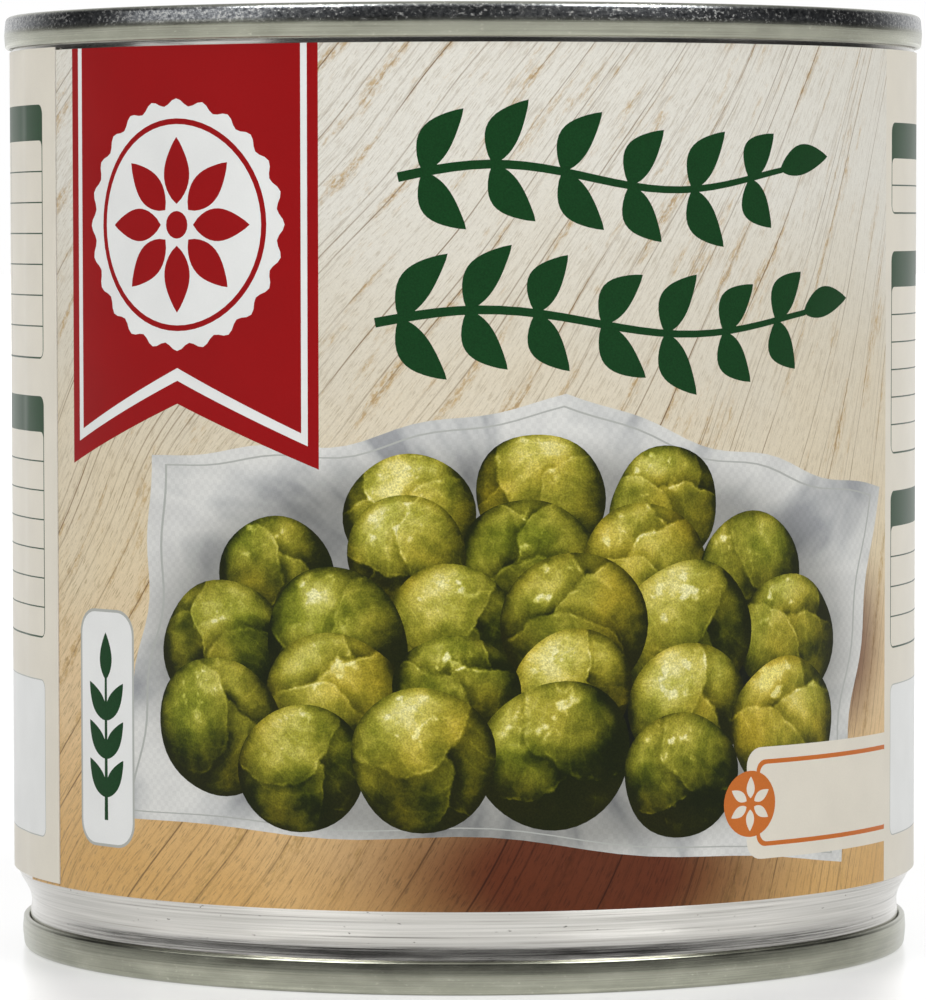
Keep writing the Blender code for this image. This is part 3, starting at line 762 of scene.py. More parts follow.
def oval(centre, half, count, waves=()):
    """A closed outline of radius 1 + the sum of a cos(k t + p) over its waves, stretched to its halves."""
    t = full_turn(count)
    radius = 1 + sum(a * np.cos(k * t + p) for k, a, p in waves)
    return np.array(centre) + np.stack([half[0] * radius * np.cos(t), half[1] * radius * np.sin(t)], axis=1)


def box_outline(low, high, corner=0.0):
    """A rectangle between two corners, with quarter circles of a radius at its own corners."""
    low, high = np.array(low, float), np.array(high, float)
    if not corner:
        return np.array([low, (high[0], low[1]), high, (low[0], high[1])])
    t = (np.arange(4)[:, None] + np.linspace(0, 1, 8)[None]) * math.pi / 2
    side = np.array([(1, 1), (-1, 1), (-1, -1), (1, -1)])[:, None]
    middle = (low + high) / 2 + side * ((high - low) / 2 - corner)
    return (middle + corner * np.stack([np.cos(t), np.sin(t)], axis=-1)).reshape(-1, 2)


def leaf_outline(foot, tip, half_width, bend=0.0):
    """A leaf between two points, w sin(pi x)^0.8 (1.25 - x/2) to each side of a rib bent by b sin(pi x)."""
    foot, tip = np.array(foot, float), np.array(tip, float)
    run = tip - foot
    side = left_of(run)
    x = np.linspace(0, 1, 14)[:, None]
    rib = foot + run * x + side * bend * np.sin(math.pi * x)
    half = half_width * np.sin(math.pi * x) ** 0.8 * (1.25 - x / 2)
    return np.vstack([rib[:-1] - side * half[:-1], (rib + side * half)[:0:-1]])


def stroke(line, half_width):
    """The outline of a line whose width thins towards its end."""
    line = np.array(line, float)
    taper = np.linspace(1, 0.6, len(line))[:, None] * half_width
    return np.vstack([beside(line, -taper), beside(line, taper)[::-1]])


class Sheet:
    """The label drawn flat: motifs in the order of printing, each with its ink and its own coordinates."""

    def __init__(self):
        self.outlines, self.inks, self.origins, self.scales, self.seeds = [], [], [], [], []

    def print(self, ink, outline, origin=(0, 0), scale=1.0, seed=0.0):
        """Prints a motif, whose pattern is measured from its origin in units of its scale."""
        self.outlines.append(np.asarray(outline, float))
        self.inks.append(ink)
        self.origins.append(origin)
        self.scales.append(scale)
        self.seeds.append(seed)


def towards(angle):
    """The step of one millimetre at an angle from u towards v."""
    return np.array([math.cos(angle), math.sin(angle)])


# A sprig's stem, and the ranges of its leaves' lean, in degrees, and of their length
STEM_WAVE = 1.1
STEM_HALF_WIDTH = 0.42
LEAF_LEAN = (48, 62)
LEAF_LENGTH = (6.2, 7.4)


def draw_sprig(sheet, start, length, leaves, draw):
    """A dark green sprig: its stem waves by b sin(2.2 pi x) along u, with leaves that point forwards."""

    def stem(x):
        """The stem's points at shares x of its length."""
        return np.stack([start[0] + length * x, start[1] + STEM_WAVE * np.sin(2.2 * math.pi * x)], axis=-1)

    sheet.print("green", stroke(stem(np.linspace(0, 1, 24)), STEM_HALF_WIDTH))
    for i in range(leaves):
        share = (i + 0.35) / leaves
        foot = stem(share)
        for side in (-1, 1):
            lean = math.radians(side * draw.uniform(*LEAF_LEAN))
            reach = draw.uniform(*LEAF_LENGTH) * (1 - 0.25 * share)
            sheet.print("green", leaf_outline(foot, foot + reach * towards(lean), 1.45, side * 0.6))
    end = stem(1)
    sheet.print("green", leaf_outline(end - (0.3, 0), end + (6.0, 1.2), 1.3, 0.4))


def draw_flower(sheet, ink, middle, petals, turn, reach, half_width):
    """A plain flower of separate petals, each a leaf from one distance of its reach to the other."""
    for k in range(petals):
        away = towards(2 * math.pi * k / petals + turn)
        sheet.print(ink, leaf_outline(middle + reach[0] * away, middle + reach[1] * away, half_width))


def draw_boxes(sheet, low, high, boxes):
    """Boxes printed on each other: each one's ink, how far in from the corners it is, and its rounding."""
    for ink, inset, corner in boxes:
        sheet.print(ink, box_outline(np.array(low) + inset, np.array(high) - inset, corner))


# The banner: its width, its lowest v, how far its notch goes up, and the height of its seal's middle
BANNER_WIDE = 28.0
BANNER_LOW = 38.0
BANNER_NOTCH = 5.5
SEAL_HEIGHT = 59.0


def draw_banner(sheet, left):
    """A red banner that hangs from the top edge, with a notched end, white lines and a rosette seal."""
    middle = left + BANNER_WIDE / 2
    for ink, inset, rise in (("red", 0, 0), ("white", 1.0, 2.0), ("red", 1.6, 3.1)):
        a, b, low = left + inset, left + BANNER_WIDE - inset, BANNER_LOW + rise
        flag = [(a, LABEL_TALL), (a, low), (middle, low + BANNER_NOTCH), (b, low), (b, LABEL_TALL)]
        sheet.print(ink, flag)
    seal = (middle, SEAL_HEIGHT)
    sheet.print("white", oval(seal, (10.6, 10.6), 144, ((24, 0.03, 0),)))
    sheet.print("red", oval(seal, (9.2, 9.2), 60))
    sheet.print("white", oval(seal, (8.7, 8.7), 60))
    draw_flower(sheet, "red", seal, 8, 0.0, (1.8, 7.6), 1.4)
    sheet.print("red", oval(seal, (1.2, 1.2), 20))


def cloth_outline(corners, bow, ripple):
    """A cloth's outline: each side bows in by sin(pi x) (b + r sin(5 pi x + 2k)), k the side's number."""
    corners = np.array(corners, float)
    x = np.linspace(0, 1, 26, endpoint=False)[:, None]
    sides = []
    for k, (start, end) in enumerate(zip(corners, np.roll(corners, -1, axis=0))):
        run = end - start
        depth = np.sin(math.pi * x) * (bow + ripple * np.sin(5 * math.pi * x + 2 * k))
        sides.append(start + run * x + left_of(run) * depth)
    return np.vstack(sides)


# The cloth's middle on the front, and its corners about it, counter-clockwise
CLOTH_MIDDLE = (48.5, 22.0)
CLOTH_CORNERS = ((-39.5, -15.0), (34.0, -19.5), (41.0, 13.5), (4.0, 22.5), (-34.5, 17.0))
# The heap's rows from the back: middle and height on the front, sprouts across, their spacing and size
HEAP_ROWS = (
    (50.0, 35.6, 3, 11.2, 5.7),
    (49.0, 30.6, 5, 10.8, 5.9),
    (48.5, 24.8, 6, 10.6, 6.0),
    (48.0, 18.8, 6, 10.6, 6.1),
    (46.0, 12.8, 4, 11.2, 6.2),
)
# A row drops by this times the square of the distance from its middle
ROW_SAG = 0.004
# How many waves go round a pictured sprout's outline, and how high each may be as a share of its radius
SPROUT_WAVES = ((2, 0.06), (3, 0.03), (5, 0.015))


def draw_heap(sheet, left, draw):
    """A heap of pictured sprouts on a white cloth, drawn row by row from the back to the front."""
    middle = np.array(CLOTH_MIDDLE) + (left, 0)
    cloth = cloth_outline(CLOTH_CORNERS, 1.2, 0.5)
    for ink, size in (("linen", 1.0), ("grey", 0.955), ("linen", 0.948)):
        sheet.print(ink, middle + cloth * size, middle)
    sheet.print("shade", oval(middle - (0, 1.5), (25, 9.5), 70, ((2, 0.04, 0.9), (3, 0.04, 0.2))))
    for row_middle, height, count, spacing, size in HEAP_ROWS:
        for i in draw.permutation(count):
            offset = (i - (count - 1) / 2) * spacing
            u = left + row_middle + offset + draw.uniform(-0.8, 0.8)
            v = height - ROW_SAG * offset**2 + draw.uniform(-0.9, 0.9)
            radius = size * draw.uniform(0.88, 1.12)
            waves = [(k, draw.uniform(-a, a), draw.uniform(0, 6.28)) for k, a in SPROUT_WAVES]
            outline = oval((u, v), (radius, radius * 0.96), 44, waves)
            sheet.print("sprout", outline, (u, v), radius * 1.02, draw.uniform())


def draw_tag(sheet, left):
    """A small white tag with a grey edge and an upright sprig."""
    low, high = (left, 4.5), (left + 7.2, 25.0)
    draw_boxes(sheet, low, high, (("grey", -0.25, 2.2), ("white", 0, 2.0)))
    middle = (low[0] + high[0]) / 2
    sheet.print("green", stroke([(middle, 6.6), (middle, 12.0), (middle, 20.0)], 0.25))
    sheet.print("green", leaf_outline((middle, 19.0), (middle, 23.2), 0.85))
    for height in (8.6, 12.0, 15.4):
        for side in (-1, 1):
            sheet.print("green", leaf_outline((middle, height), (middle + side * 2.4, height + 3.4), 0.85))


def draw_panel(sheet, left, right):
    """A cream panel with an orange line, and a small flower in an orange disc on its left edge."""
    boxes = (("cream", 0, 1.6), ("orange", 1.1, 1.0), ("cream", 1.5, 0.8))
    draw_boxes(sheet, (left, 3.6), (right, 13.4), boxes)
    hub = np.array((left + 0.4, 8.5))
    sheet.print("orange", oval(hub, (2.9, 2.9), 40))
    draw_flower(sheet, "cream", hub, 6, 0.5, (0.5, 2.4), 0.45)


def draw_front(sheet, left, draw, tuck):
    """A front of the label: boards, sprigs, heap on its cloth, banner, tag and cream panel."""
    right = left + FRONT_WIDE
    sheet.print("boards", box_outline((left - tuck, 0), (right, LABEL_TALL)), (left, 0))
    draw_sprig(sheet, (left + 38, 63.0), 36, 6, draw)
    draw_sprig(sheet, (left + 36, 50.6), 41, 7, draw)
    draw_heap(sheet, left, draw)
    draw_banner(sheet, left + 3.0)
    draw_tag(sheet, left + 4.2)
    draw_panel(sheet, left + 70.0, right + 2.0)


TABLE_FRAME = 0.16
TABLE_HEADER = 3.2
RULE_HALF_WIDTH = 0.06
# The tables of the two sides: lowest and highest v, count of rows, and how far across the column line is
TABLES = (
    ((60.0, 68.0, 2, 0.75), (38.5, 56.5, 6, 0.6), (21.0, 35.0, 4, 0.6)),
    ((47.0, 69.5, 7, 0.65), (22.0, 43.5, 7, 0.5)),
)
# The lowest and highest v of each side's bare field
BARE_FIELDS = ((4.0, 17.5), (4.0, 18.0))


def draw_side(sheet, left, tables, bare):
    """A side of the label: a cream ground, framed tables with green headers, and a bare white field."""
    sheet.print("cream", box_outline((left, 0), (left + SIDE_WIDE, LABEL_TALL)))
    left, right = left + 1.6, left + SIDE_WIDE - 3.0
    for low, high, rows, column in tables:
        frame_low, frame_high = (left - TABLE_FRAME, low - TABLE_FRAME), (right + TABLE_FRAME, high)
        under_header = high - TABLE_HEADER
        sheet.print("green", box_outline(frame_low, frame_high, 0.9))
        sheet.print("cream", box_outline((left, low), (right, under_header), 0.6))
        for v in np.linspace(under_header, low, rows + 1)[1:-1]:
            sheet.print("green", box_outline((left, v - RULE_HALF_WIDTH), (right, v + RULE_HALF_WIDTH)))
        u = left + (right - left) * column
        sheet.print("green", box_outline((u - RULE_HALF_WIDTH, low), (u + RULE_HALF_WIDTH, under_header)))
    draw_boxes(sheet, (left, bare[0]), (right, bare[1]), (("grey", -0.1, 0.9), ("white", 0, 0.8)))


def draw_label():
    """The whole strip from its lap: the front, a side, the front again on the back, and the other side."""
    draw = np.random.default_rng(83)
    sheet = Sheet()
    starts = (0.0, LABEL_ROUND / 2)
    for start, tuck in zip(starts, (LABEL_TUCK, 0.0)):
        draw_front(sheet, start, draw, tuck)
    for start, tables, bare in zip(starts, TABLES, BARE_FIELDS):
        draw_side(sheet, start + FRONT_WIDE, tables, bare)
    return sheet


def label_lift(u):
    """How far the strip stands off the can: nothing, then a smooth step over its tucked-in beginning."""
    return LABEL_LIFT * smooth_rise(u, LABEL_ROUND - LABEL_TUCK - LABEL_RAMP, LABEL_RAMP)


def on_can(flat, stand_off):
    """Points of the flat label wound round the can: azimuth u / R from the lap, with a slight skew."""
    u, v = flat.T
    angle = math.radians(LAP_AZIMUTH) + u / LABEL_RADIUS
    radius = LABEL_INNER_RADIUS + label_lift(u) + stand_off
    z = LABEL_LOW + v + LABEL_SKEW * u / LABEL_ROUND
    return np.stack([radius * np.sin(angle), -radius * np.cos(angle), z], axis=1)


# Where the label lies on its baked square picture, as shares of it. Each half of the strip has a row for its
# print and a low row for its back, and every cut edge is a thin triangle at the same place
PRINT_ROWS, PRINT_ROW_TALL = (0.10, 0.56), 0.43
BACK_ROWS, BACK_ROW_TALL = (0.0, 0.03), 0.025
EDGE_ROW, EDGE_ROW_TALL, EDGE_WIDE = (0.065, 0.065, 0.085), 0.005, 0.004


def bake_layout(flat, count):
    """Where each corner lies on the baked picture: `count` faces of print, as many of its back, and edges."""
    half = LABEL_ROUND / 2
    later = flat[:, :, 0].mean(axis=1, keepdims=True) > half
    along = (flat[..., 0] - np.where(later, half, -LABEL_TUCK)) / (half + LABEL_TUCK)
    up = flat[..., 1] / LABEL_TALL
    back, edges = slice(count, 2 * count), slice(2 * count, None)
    row = np.where(later, *PRINT_ROWS[::-1]) + PRINT_ROW_TALL * up
    row[back] = (np.where(later, *BACK_ROWS[::-1]) + BACK_ROW_TALL * up)[back]
    row[edges] = np.array(EDGE_ROW) + EDGE_ROW_TALL * up[edges]
    along[edges, 2] += EDGE_WIDE
    return np.stack([np.clip(along, 0, 1), row], axis=-1)


def label_normals(u, points, faces, count):
    """Each corner's normal: the wound strip's own on its two wide faces, so that no cut shows.

    On the print it is outward - (dr/du) forward, with r the radius, and the back has the opposite one.
    """
    angle, nearby = math.radians(LAP_AZIMUTH) + u / LABEL_RADIUS, 0.01
    slope = (label_lift(u + nearby) - label_lift(u - nearby)) / (2 * nearby)
    outward = np.stack([np.sin(angle), -np.cos(angle), 0 * angle], axis=-1)
    forward = np.stack([np.cos(angle), np.sin(angle), 0 * angle], axis=-1)
    normals = outward - slope[..., None] * forward
    normals[count : 2 * count] *= -1
    edge = points[faces[2 * count :]]
    normals[2 * count :] = np.cross(edge[:, 1] - edge[:, 0], edge[:, 2] - edge[:, 0])[:, None]
    return normals / np.linalg.norm(normals, axis=-1, keepdims=True)


def make_label():
    """One closed paper strip, its outer face cut along the outlines of the print, wound once and lapped."""
    sheet = draw_label()
    inks = label_materials()
    start, end = -LABEL_TUCK, LABEL_ROUND
    strip = box_outline((start, 0), (end, LABEL_TALL))
    step = LABEL_ROUND / SIDES
    columns = np.arange(math.ceil(start / step), math.ceil(end / step)) * step
    walls = [((u, 0.0), (u, LABEL_TALL)) for u in columns if start < u < end]
    outlines = [np.clip(outline, (start, 0), (end, LABEL_TALL)) for outline in sheet.outlines]
    flat, triangles, top = partition([strip, *outlines], (), walls)
    motif = np.maximum(top - 1, 0)
    points, faces = shell(on_can(flat, LABEL_PAPER), on_can(flat, 0), triangles)

    names, count = list(inks), len(triangles)
    of_face = np.full(len(faces), names.index("paper"))
    of_face[:count] = np.array([names.index(ink) for ink in sheet.inks])[motif]
    place = ("can", "label_paper", ["paper_label"])
    label = make_piece("paper_label", points, faces, *place, inks.values(), of_face, sharp=60)

    corners = np.vstack([flat, flat])[faces]
    local = corners.copy()
    local[:count] -= np.array(sheet.origins, float)[motif][:, None]
    local[:count] /= np.array(sheet.scales, float)[motif][:, None, None]
    seeds = np.zeros(len(faces))
    seeds[:count] = np.array(sheet.seeds)[motif]
    mesh = label.data
    for name, places in (("motif", local), ("OFBake", bake_layout(corners, count))):
        mesh.uv_layers.new(name=name).uv.foreach_set("vector", places.ravel())
    mesh.attributes.new("seed", "FLOAT", "FACE").data.foreach_set("value", seeds)
    mesh.normals_split_custom_set(label_normals(corners[..., 0], points, faces, count).reshape(-1, 3))


def seam_layers(outer):
    """The middle radius of each sheet in a double seam, from its outer wall inwards."""
    layers = []
    for sheet in (END_SHEET, BODY_SHEET, END_SHEET, BODY_SHEET, END_SHEET):
        layers.append(outer - sheet / 2)
        outer -= sheet + SEAM_GAP
    return layers


def end_seam_line(layers):
    """The end's share of a seam, as (radius, depth): chuck wall, rim, rolled outer wall, cover hook."""
    outer_wall, _, cover_hook, _, chuck_wall = layers
    rim, turn = END_SHEET / 2, SEAM_DEPTH - END_SHEET / 2
    return [
        (chuck_wall, rim),
        (outer_wall - SEAM_LEAN_ABOVE, rim),
        (outer_wall, SEAM_CREASE_DEPTH),
        (outer_wall - SEAM_LEAN_BELOW, turn),
        (cover_hook, turn),
        (cover_hook, HOOK_END_DEPTH),
    ]


def groove_line(layers, panel_depth, groove_depth):
    """The countersink, as (radius, depth): down from the panel, along its floor, up to the chuck wall."""
    wall = layers[4]
    start, foot, rise, lean = (wall - inset for inset in GROOVE_INSETS)
    return [
        (start, panel_depth),
        (foot, groove_depth),
        (rise, groove_depth),
        (lean, (panel_depth + groove_depth) / 2 - GROOVE_RISE),
    ]


def bead_line(bead, depth):
    """A bead, as (radius, depth): up from the panel, across and down again."""
    inner, outer, height = bead
    top = depth - height
    return [(inner, depth), (inner + BEAD_SLOPE, top), (outer - BEAD_SLOPE, top), (outer, depth)]


def end_section(layers, beads, panel_depth, groove_depth):
    """An end's middle line as (radius, depth), with points fine enough in the middle for a finger well."""
    half = END_SHEET / 2
    panel = [point for bead in beads for point in bead_line(bead, panel_depth + half)]
    groove = groove_line(layers, panel_depth + half, groove_depth + half)
    corners = [(WELL_REACH + 0.2, panel_depth + half), *panel, *groove, *end_seam_line(layers)]
    easing = [BEAD_EASING] * len(panel) + [*GROOVE_EASING, *SEAM_EASING]
    middle = np.stack([np.linspace(0, WELL_REACH, 40), np.full(40, panel_depth + half)], axis=1)
    return np.vstack([middle, eased(corners, easing)])


def split_runs(line, longest):
    """The line with its long runs cut into equal shorter ones."""
    lengths = np.linalg.norm(np.diff(line, axis=0), axis=1)
    counts = np.maximum(1, np.ceil(lengths / longest).astype(int))
    at = np.concatenate([i + np.arange(n) / n for i, n in enumerate(counts)] + [[len(line) - 1]])
    index = np.arange(len(line))
    return np.stack([np.interp(at, index, line[:, 0]), np.interp(at, index, line[:, 1])], axis=1)


def make_end(name, outer, inner, chuck_wall, well_depth, facing, metals):
    """An end's closed sheet, turned from its two faces, with a finger well pressed in the middle.

    The facing is -1 where the faces have to be turned round to point outwards. The metals are the panel's
    and, from the chuck wall on, the seam's.
    """
    outer[0, 0] = inner[0, 0] = 0
    points, faces = turned(np.vstack([outer, inner[::-1]]), False)
    points[:, 2] -= well_depth * pressed_oval(points[:, 0], points[:, 1], WELL_HALF_SIZE)
    middle_radius = np.linalg.norm(points[faces].mean(axis=1)[:, :2], axis=1)
    of_face = (middle_radius > chuck_wall - END_SHEET / 2).astype(int)
    close_poles(make_piece(name, points, faces[:, ::facing], "can", "tinplate", [name], metals, of_face))


def make_top_end(metals):
    """The easy-open end, with a score c (1 - |r - s| / w) deep, s its radius and w its half-width."""
    layers = seam_layers(TOP_SEAM_RADIUS)
    line = end_section(layers, (TOP_BEAD, OUTER_BEAD), PANEL_DEPTH, GROOVE_DEPTH)
    line[:, 1] = HEIGHT - line[:, 1]
    at_score = SCORE_RADIUS + SCORE_HALF_WIDTH * np.linspace(-1, 1, 5)
    score = np.stack([at_score, np.full(5, PANEL_TOP - END_SHEET / 2)], axis=1)
    before = int(np.argmax(line[:, 0] > SCORE_RADIUS - SCORE_HALF_WIDTH))
    line = np.vstack([line[:before], score, line[before:]])
    outer, inner = beside(line, END_SHEET / 2), beside(line, -END_SHEET / 2)
    near_score = np.abs(outer[:, 0] - SCORE_RADIUS) / SCORE_HALF_WIDTH
    on_panel = np.arange(len(outer)) < before + 5
    outer[:, 1] -= np.where(on_panel, SCORE_CUT * np.clip(1.0 - near_score, 0, 1), 0)
    make_end("top_end", outer, inner, layers[4], WELL_DEPTH, -1, metals)


def make_bottom_end(metals):
    """The plain end under the can: the same seam and countersink, turned over, with two beads."""
    layers = seam_layers(BOTTOM_SEAM_RADIUS)
    line = end_section(layers, BOTTOM_BEADS, BOTTOM_PANEL_DEPTH, BOTTOM_GROOVE_DEPTH)
    outer, inner = beside(line, -END_SHEET / 2), beside(line, END_SHEET / 2)
    make_end("bottom_end", outer, inner, layers[4], 0.0, 1, metals)


def make_rivet(metal):
    """The rivet drawn from the end's sheet: a shank and an overhanging head with a domed rim and dimple."""
    foot = PANEL_TOP - END_SHEET / 2
    low, high = (PANEL_TOP + h for h in RIVET_HEIGHTS)
    rim_outer, rim_inner, floor = (RIVET_HEAD - inset for inset in RIVET_INSETS)
    corners = [
        (0, foot),
        (RIVET_SHANK, foot),
        (RIVET_SHANK, low),
        (RIVET_HEAD, low),
        (RIVET_HEAD, high - RIVET_DOME),
        (rim_outer, high),
        (rim_inner, high),
        (floor, high - RIVET_DIMPLE),
        (0, high - RIVET_DIMPLE),
    ]
    section = eased(corners, RIVET_EASING)
    points, faces = turned(section[::-1], False, (0, RIVET_Y), 64)
    close_poles(make_piece("rivet_head", points, faces[:, ::-1], "can", "tinplate", [], [metal]))


def body_seam_line(layers):
    """The body's share of a seam, as (radius, depth): its wall and the flange, turned down as a hook."""
    _, body_hook, _, body_wall, _ = layers
    top = END_SHEET + SEAM_GAP + BODY_SHEET / 2
    return [(body_wall, top), (body_hook, top), (body_hook, BODY_HOOK_DEPTH)]


def make_body(metal):
    """The body's sheet from one flange to the other, with its necks rounded as rolling leaves them."""
    middle = BODY_RADIUS - BODY_SHEET / 2
    bottom, top = seam_layers(BOTTOM_SEAM_RADIUS), seam_layers(TOP_SEAM_RADIUS)
    corners = [
        *body_seam_line(bottom)[::-1],
        (bottom[3], SEAM_DEPTH),
        (bottom[3] - WAIST, BOTTOM_NECK[0]),
        (middle, BOTTOM_NECK[1]),
        (middle, HEIGHT - TOP_NECK[1]),
        (top[3], HEIGHT - TOP_NECK[0]),
        *((radius, HEIGHT - depth) for radius, depth in body_seam_line(top)),
    ]
    line = split_runs(eased(corners, BODY_EASING, 9), LONGEST_RUN)
    section = np.vstack([beside(line, -BODY_SHEET / 2), beside(line, BODY_SHEET / 2)[::-1]])
    points, faces = turned(section, True)
    make_piece("can_body", points, faces, "can", "tinplate", ["can_body"], [metal])


def arc_path(centre_y, radius, height, angle):
    """Level points at some angles round a place on the can's Y axis."""
    return np.stack([radius * np.cos(angle), centre_y + radius * np.sin(angle), 0 * angle + height], axis=1)


def tab_path(inset, height):
    """The tab's outline, two arcs joined by their common tangents, moved inwards by a distance."""
    spread = math.acos((RING_RADIUS - NOSE_RADIUS) / (NOSE_Y - RING_Y))
    nose = math.pi / 2 + np.linspace(-spread, spread, 32)
    ring = math.pi / 2 + np.linspace(spread, 2 * math.pi - spread, 64)
    arcs = (NOSE_Y, NOSE_RADIUS - inset, height, nose), (RING_Y, RING_RADIUS - inset, height, ring)
    return np.vstack([arc_path(*arc) for arc in arcs])


def curl_section(half_width, half_height):
    """A pressed curl: a circle squared off a little, |x/a|^2.6 + |y/b|^2.6 = 1."""
    t = full_turn(20)
    waves = np.stack([np.cos(t), np.sin(t)], axis=1)
    return (half_width, half_height) * np.sign(waves) * np.abs(waves) ** (2 / 2.6)


def plate_mesh(outline, holes, spacing, underside, sheet):
    """A thin plate with holes, of one thickness over an underside that is a function of (x, y)."""
    low, high = outline.min(axis=0), outline.max(axis=0)
    x, y = np.meshgrid(np.arange(low[0], high[0], spacing), np.arange(low[1], high[1], spacing))
    extra = np.stack([x.ravel(), y.ravel()], axis=1) + spacing * 0.37
    flat, triangles, top = partition([outline, *holes], extra, ())
    triangles = triangles[top == 0]
    used, index = np.unique(triangles, return_inverse=True)
    flat, triangles = flat[used], index.reshape(-1, 3)
    z = underside(*flat.T)
    lower = np.column_stack([flat, z])
    upper = np.column_stack([flat, z + sheet])
    return shell(upper, lower, triangles)


def window_outline(half_width, reach, corner):
    """A rounded box astride the can's Y axis."""
    return box_outline((-half_width, reach[0]), (half_width, reach[1]), corner)


def make_tab(metal):
    """The pull tab, a pressed web with a curl round its outline and its finger hole, and its tongue."""
    half = TAB_THICKNESS / 2
    middle = PANEL_TOP + TAB_UNDERSIDE + half
    finger_path = arc_path(FINGER_HOLE_Y, FINGER_HOLE_RADIUS + FINGER_CURL, middle, full_turn(72))
    outer = swept(tab_path(half, middle), curl_section(half, half))
    finger = swept(finger_path, curl_section(FINGER_CURL, half * 0.96))

    def web_underside(x, y):
        """The web lies low, with a stiffening oval raised between the hole and the window."""
        return middle - WEB_DROP + STIFFENER_HEIGHT * pressed_oval(x, y - STIFFENER_Y, STIFFENER_HALF_SIZE)

    window = window_outline(WINDOW_HALF_WIDTH, WINDOW_Y, WINDOW_CORNER)
    holes = [finger_path[:, :2], window]
    web = plate_mesh(tab_path(half, 0)[:, :2], holes, WEB_GRID, web_underside, TAB_SHEET)
    for name, (points, faces) in (("tab_outer_curl", outer), ("tab_finger_curl", finger), ("tab_web", web)):
        make_piece(name, points, faces, "tab", "tab_steel", ["pull_tab"], [metal])

    def tongue_underside(_, y):
        """Flat on the panel round the rivet, then rising smoothly to the fold where it joins the web."""
        start, end, rise = TONGUE_FOLD
        return PANEL_TOP + TONGUE_UNDERSIDE + rise * smooth_rise(y, start, end - start)

    outline = window_outline(TONGUE_HALF_WIDTH, TONGUE_Y, TONGUE_CORNER)
    shank = arc_path(RIVET_Y, RIVET_SHANK + SHANK_ROOM, 0, full_turn(40))[:, :2]
    points, faces = plate_mesh(outline, [shank], TONGUE_GRID, tongue_underside, TONGUE_SHEET)
    make_piece("tab_tongue", points, faces, "can", "tab_steel", ["tab_tongue"], [metal])


def make_sprout(node, material):
    """A sprout in the place of its solid: a ball whose radius steps down in a spiral at each leaf's edge.

    The radius is R (1 - 0.05 s^1.5 - veins) (1 - 0.06 cos^8 t), with s the share of the way across a leaf,
    three leaves to a turn, and t the angle from the tip, so that the tip and the foot are a little flat.
    """
    low, high = (np.array(corner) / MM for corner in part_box(node))
    centre, radius = (low + high) / 2, (high - low).min() / 2 * 0.97
    rows, columns = 40, 64
    t = np.linspace(0.02, math.pi - 0.02, rows)[:, None]
    a = full_turn(columns)[None]
    turn = a / (2 * math.pi) + 0.9 * t / math.pi
    step = (3 * turn) % 1
    seed = float(centre.sum())
    leaves = 1 - 0.05 * step**1.5 - 0.012 * np.cos(9 * a + 5 * t + seed) * np.sin(t)
    r = radius * leaves * (1 - 0.06 * np.cos(t) ** 8)
    x, y, z = r * np.sin(t) * np.cos(a), r * np.sin(t) * np.sin(a), r * np.cos(t)
    points = np.stack([x, y, z], axis=-1).reshape(-1, 3)
    lean = Matrix.Rotation(seed, 3, "X") @ Matrix.Rotation(seed * 1.7, 3, "Z")
    points = points @ np.array(lean).T + centre
    quads = grid_faces(rows, columns, False, True)[:, ::-1]
    points = np.vstack([points, points[:columns].mean(axis=0), points[-columns:].mean(axis=0)])
    ring, last = np.arange(columns), (rows - 1) * columns
    following, pole = np.roll(ring, -1), np.full(columns, rows * columns)
    first_cap = np.stack([following, ring, pole], axis=1)
    last_cap = np.stack([ring + last, following + last, pole + 1], axis=1)
    triangles = np.vstack([quads[:, [0, 1, 2]], quads[:, [0, 2, 3]], first_cap, last_cap])
    make_piece(node, points, triangles, "can", "sprout_leaf", [node], [material], sharp=50)


def make_camera():
    """The photograph's camera: a long lens a little above the table, turned down and rolled by its fit."""
    data = bpy.data.cameras.new("camera")
    data.sensor_width = 36
    data.lens = CAMERA_LENS
    data.shift_x, data.shift_y = CAMERA_SHIFT
    data.clip_start, data.clip_end = 0.01, 100
    camera = add_object("camera", data)
    tilt = Matrix.Rotation(math.radians(90 + CAMERA_PITCH), 4, "X")
    roll = Matrix.Rotation(math.radians(CAMERA_ROLL), 4, "Z")
    camera.matrix_world = Matrix.Translation(Vector(CAMERA_AT) * MM) @ tilt @ roll
    bpy.context.scene.camera = camera


# How strongly the table top glows near the can and far from it
TABLE_GLOW = (0.38, 0.92)
FLOOR_HALF_SIZE = 8000.0


def white_table(node):
    """White acrylic, glossy, with a painted glow: it emits light, more so far from the can, where it meets
    the white room.
    """
    place = object_place(node)
    haze = node("TexNoise", {"Vector": place, "Scale": 0.02, "Detail": 2})
    away = node("VectorMath", (place,), out=1, operation="LENGTH")
    # Painted glow: the table top emits light, weakly near the can and strongly far from it
    glow = node("MapRange", (away, 150.0, 2000.0, *TABLE_GLOW))
    colour = node("ValToRGB", (haze,), stops=((0.3, "#b9b9b9"), (0.7, "#bebebe")))
    return {"Base Color": colour, "Emission Strength": glow}


def make_floor():
    """The table top, level with the can's base."""
    corners = box_outline((-FLOOR_HALF_SIZE, -FLOOR_HALF_SIZE), (FLOOR_HALF_SIZE, FLOOR_HALF_SIZE)) * MM
    mesh = bpy.data.meshes.new("floor")
    mesh.from_pydata([(x, y, 0) for x, y in corners.tolist()], [], [(0, 1, 2, 3)])
    mesh.materials.append(make_material("lit_white_acrylic", white_table, roughness=0.22))
    floor = add_object("floor", mesh)


# Softboxes: place, size and power, all turned to the middle of the can
SOFTBOXES = (
    ((-880, -820, 1150), (800, 700), 13.0),
    ((900, -800, 1120), (800, 700), 15.0),
    ((0, -100, 1300), (1500, 1200), 2.0),
    ((-1130, -420, 410), (900, 300), 0.8),
)


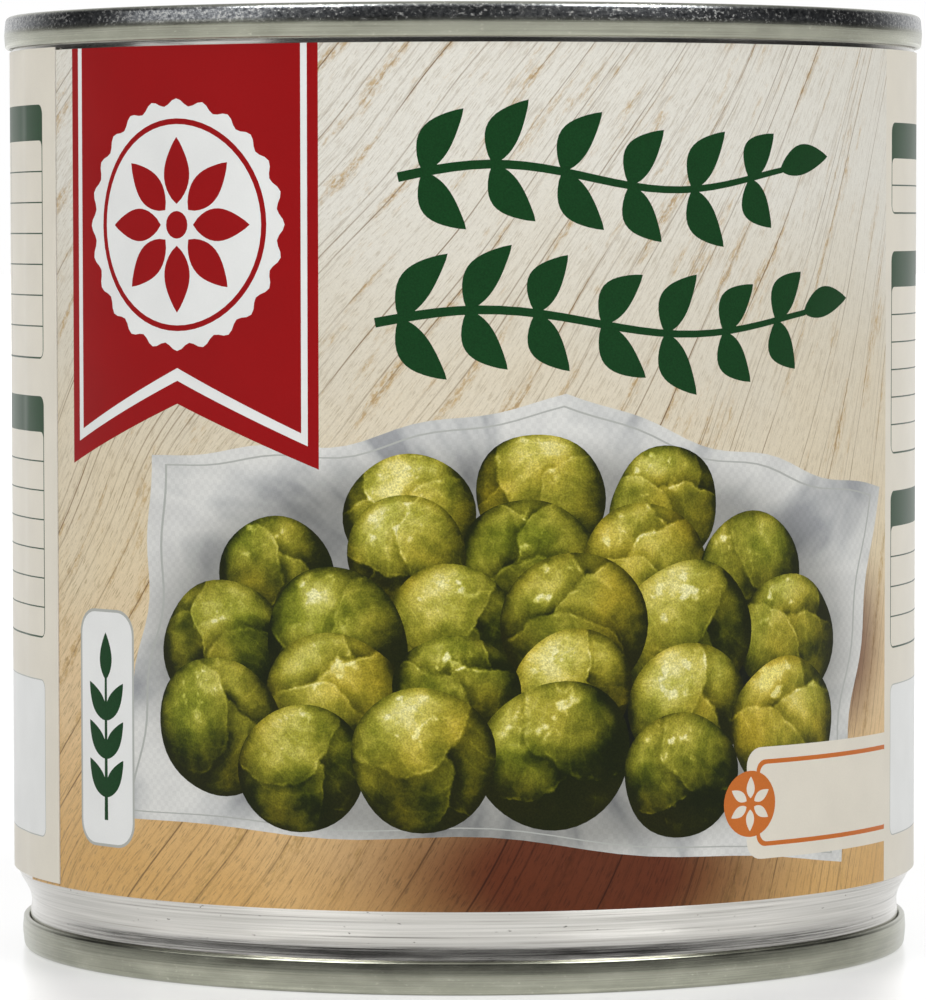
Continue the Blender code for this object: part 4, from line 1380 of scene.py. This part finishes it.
def make_lights():
    """The softboxes, which light the can from both sides and from above."""
    for number, (place, size, power) in enumerate(SOFTBOXES, 1):
        data = bpy.data.lights.new(f"softbox_{number}", "AREA")
        data.shape = "RECTANGLE"
        data.size, data.size_y = (s * MM for s in size)
        data.energy = power
        lamp = add_object(data.name, data)
        lamp.location = Vector(place) * MM
        lamp.rotation_euler = (Vector((0, 0, 0.04)) - lamp.location).to_track_quat("-Z", "Y").to_euler()


def make_room():
    """The room that the metal mirrors: white behind the can, grey overhead, nearly black elsewhere.

    Where the room itself is seen, it is plain white.
    """
    world = bpy.data.worlds.new("studio")
    world.use_nodes = True
    tree = world.node_tree
    node = partial(add, tree)
    parts = node("SeparateXYZ", (node("TexCoord", out=0),)).node
    behind = node("MapRange", (parts.outputs[1], 0.55, 0.95, 0.03, 0.95))
    above = node("MapRange", (parts.outputs[2], 0.45, 0.75, 0.0, 0.4))
    light = node("Math", (behind, above), operation="MAXIMUM")
    mirrored = node("Mix", {0: light, 6: (0, 0, 0, 1), 7: (1, 1, 1, 1)}, out=2, data_type="RGBA")
    seen = node("LightPath", out=0)
    shown = node("Mix", {0: seen, 6: mirrored, 7: (1, 1, 1, 1)}, out=2, data_type="RGBA")
    tree.links.new(shown, tree.nodes["Background"].inputs["Color"])
    bpy.context.scene.world = world
    bpy.context.scene.view_settings.view_transform = "Standard"


def main():
    """Sets up the studio and dresses every piece of the can."""
    make_camera()
    make_lights()
    make_room()
    make_floor()
    wall = make_material("satin_tinplate_wall", tinplate_wall, metallic=1.0)
    seam = make_material("rolled_tinplate_seam", tinplate_seam, metallic=1.0)
    panel = make_material("lacquered_tinplate_panel", tinplate_panel, metallic=1.0, coat_weight=0.3)
    tab = make_material("curled_tab_steel", tab_steel, metallic=1.0)
    compound = make_material("latex_seam_compound", rubber_compound, roughness=0.8)
    leaf = make_material("cooked_sprout_leaf", cooked_leaf, roughness=0.38)
    make_body(wall)
    make_top_end([panel, seam])
    make_rivet(panel)
    make_bottom_end([panel, seam])
    make_tab(tab)
    make_label()
    for name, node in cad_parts.items():
        if name.startswith("sprout"):
            make_sprout(name, leaf)
        if name.endswith("compound"):
            node.data.materials.clear()
            node.data.materials.append(compound)


main()
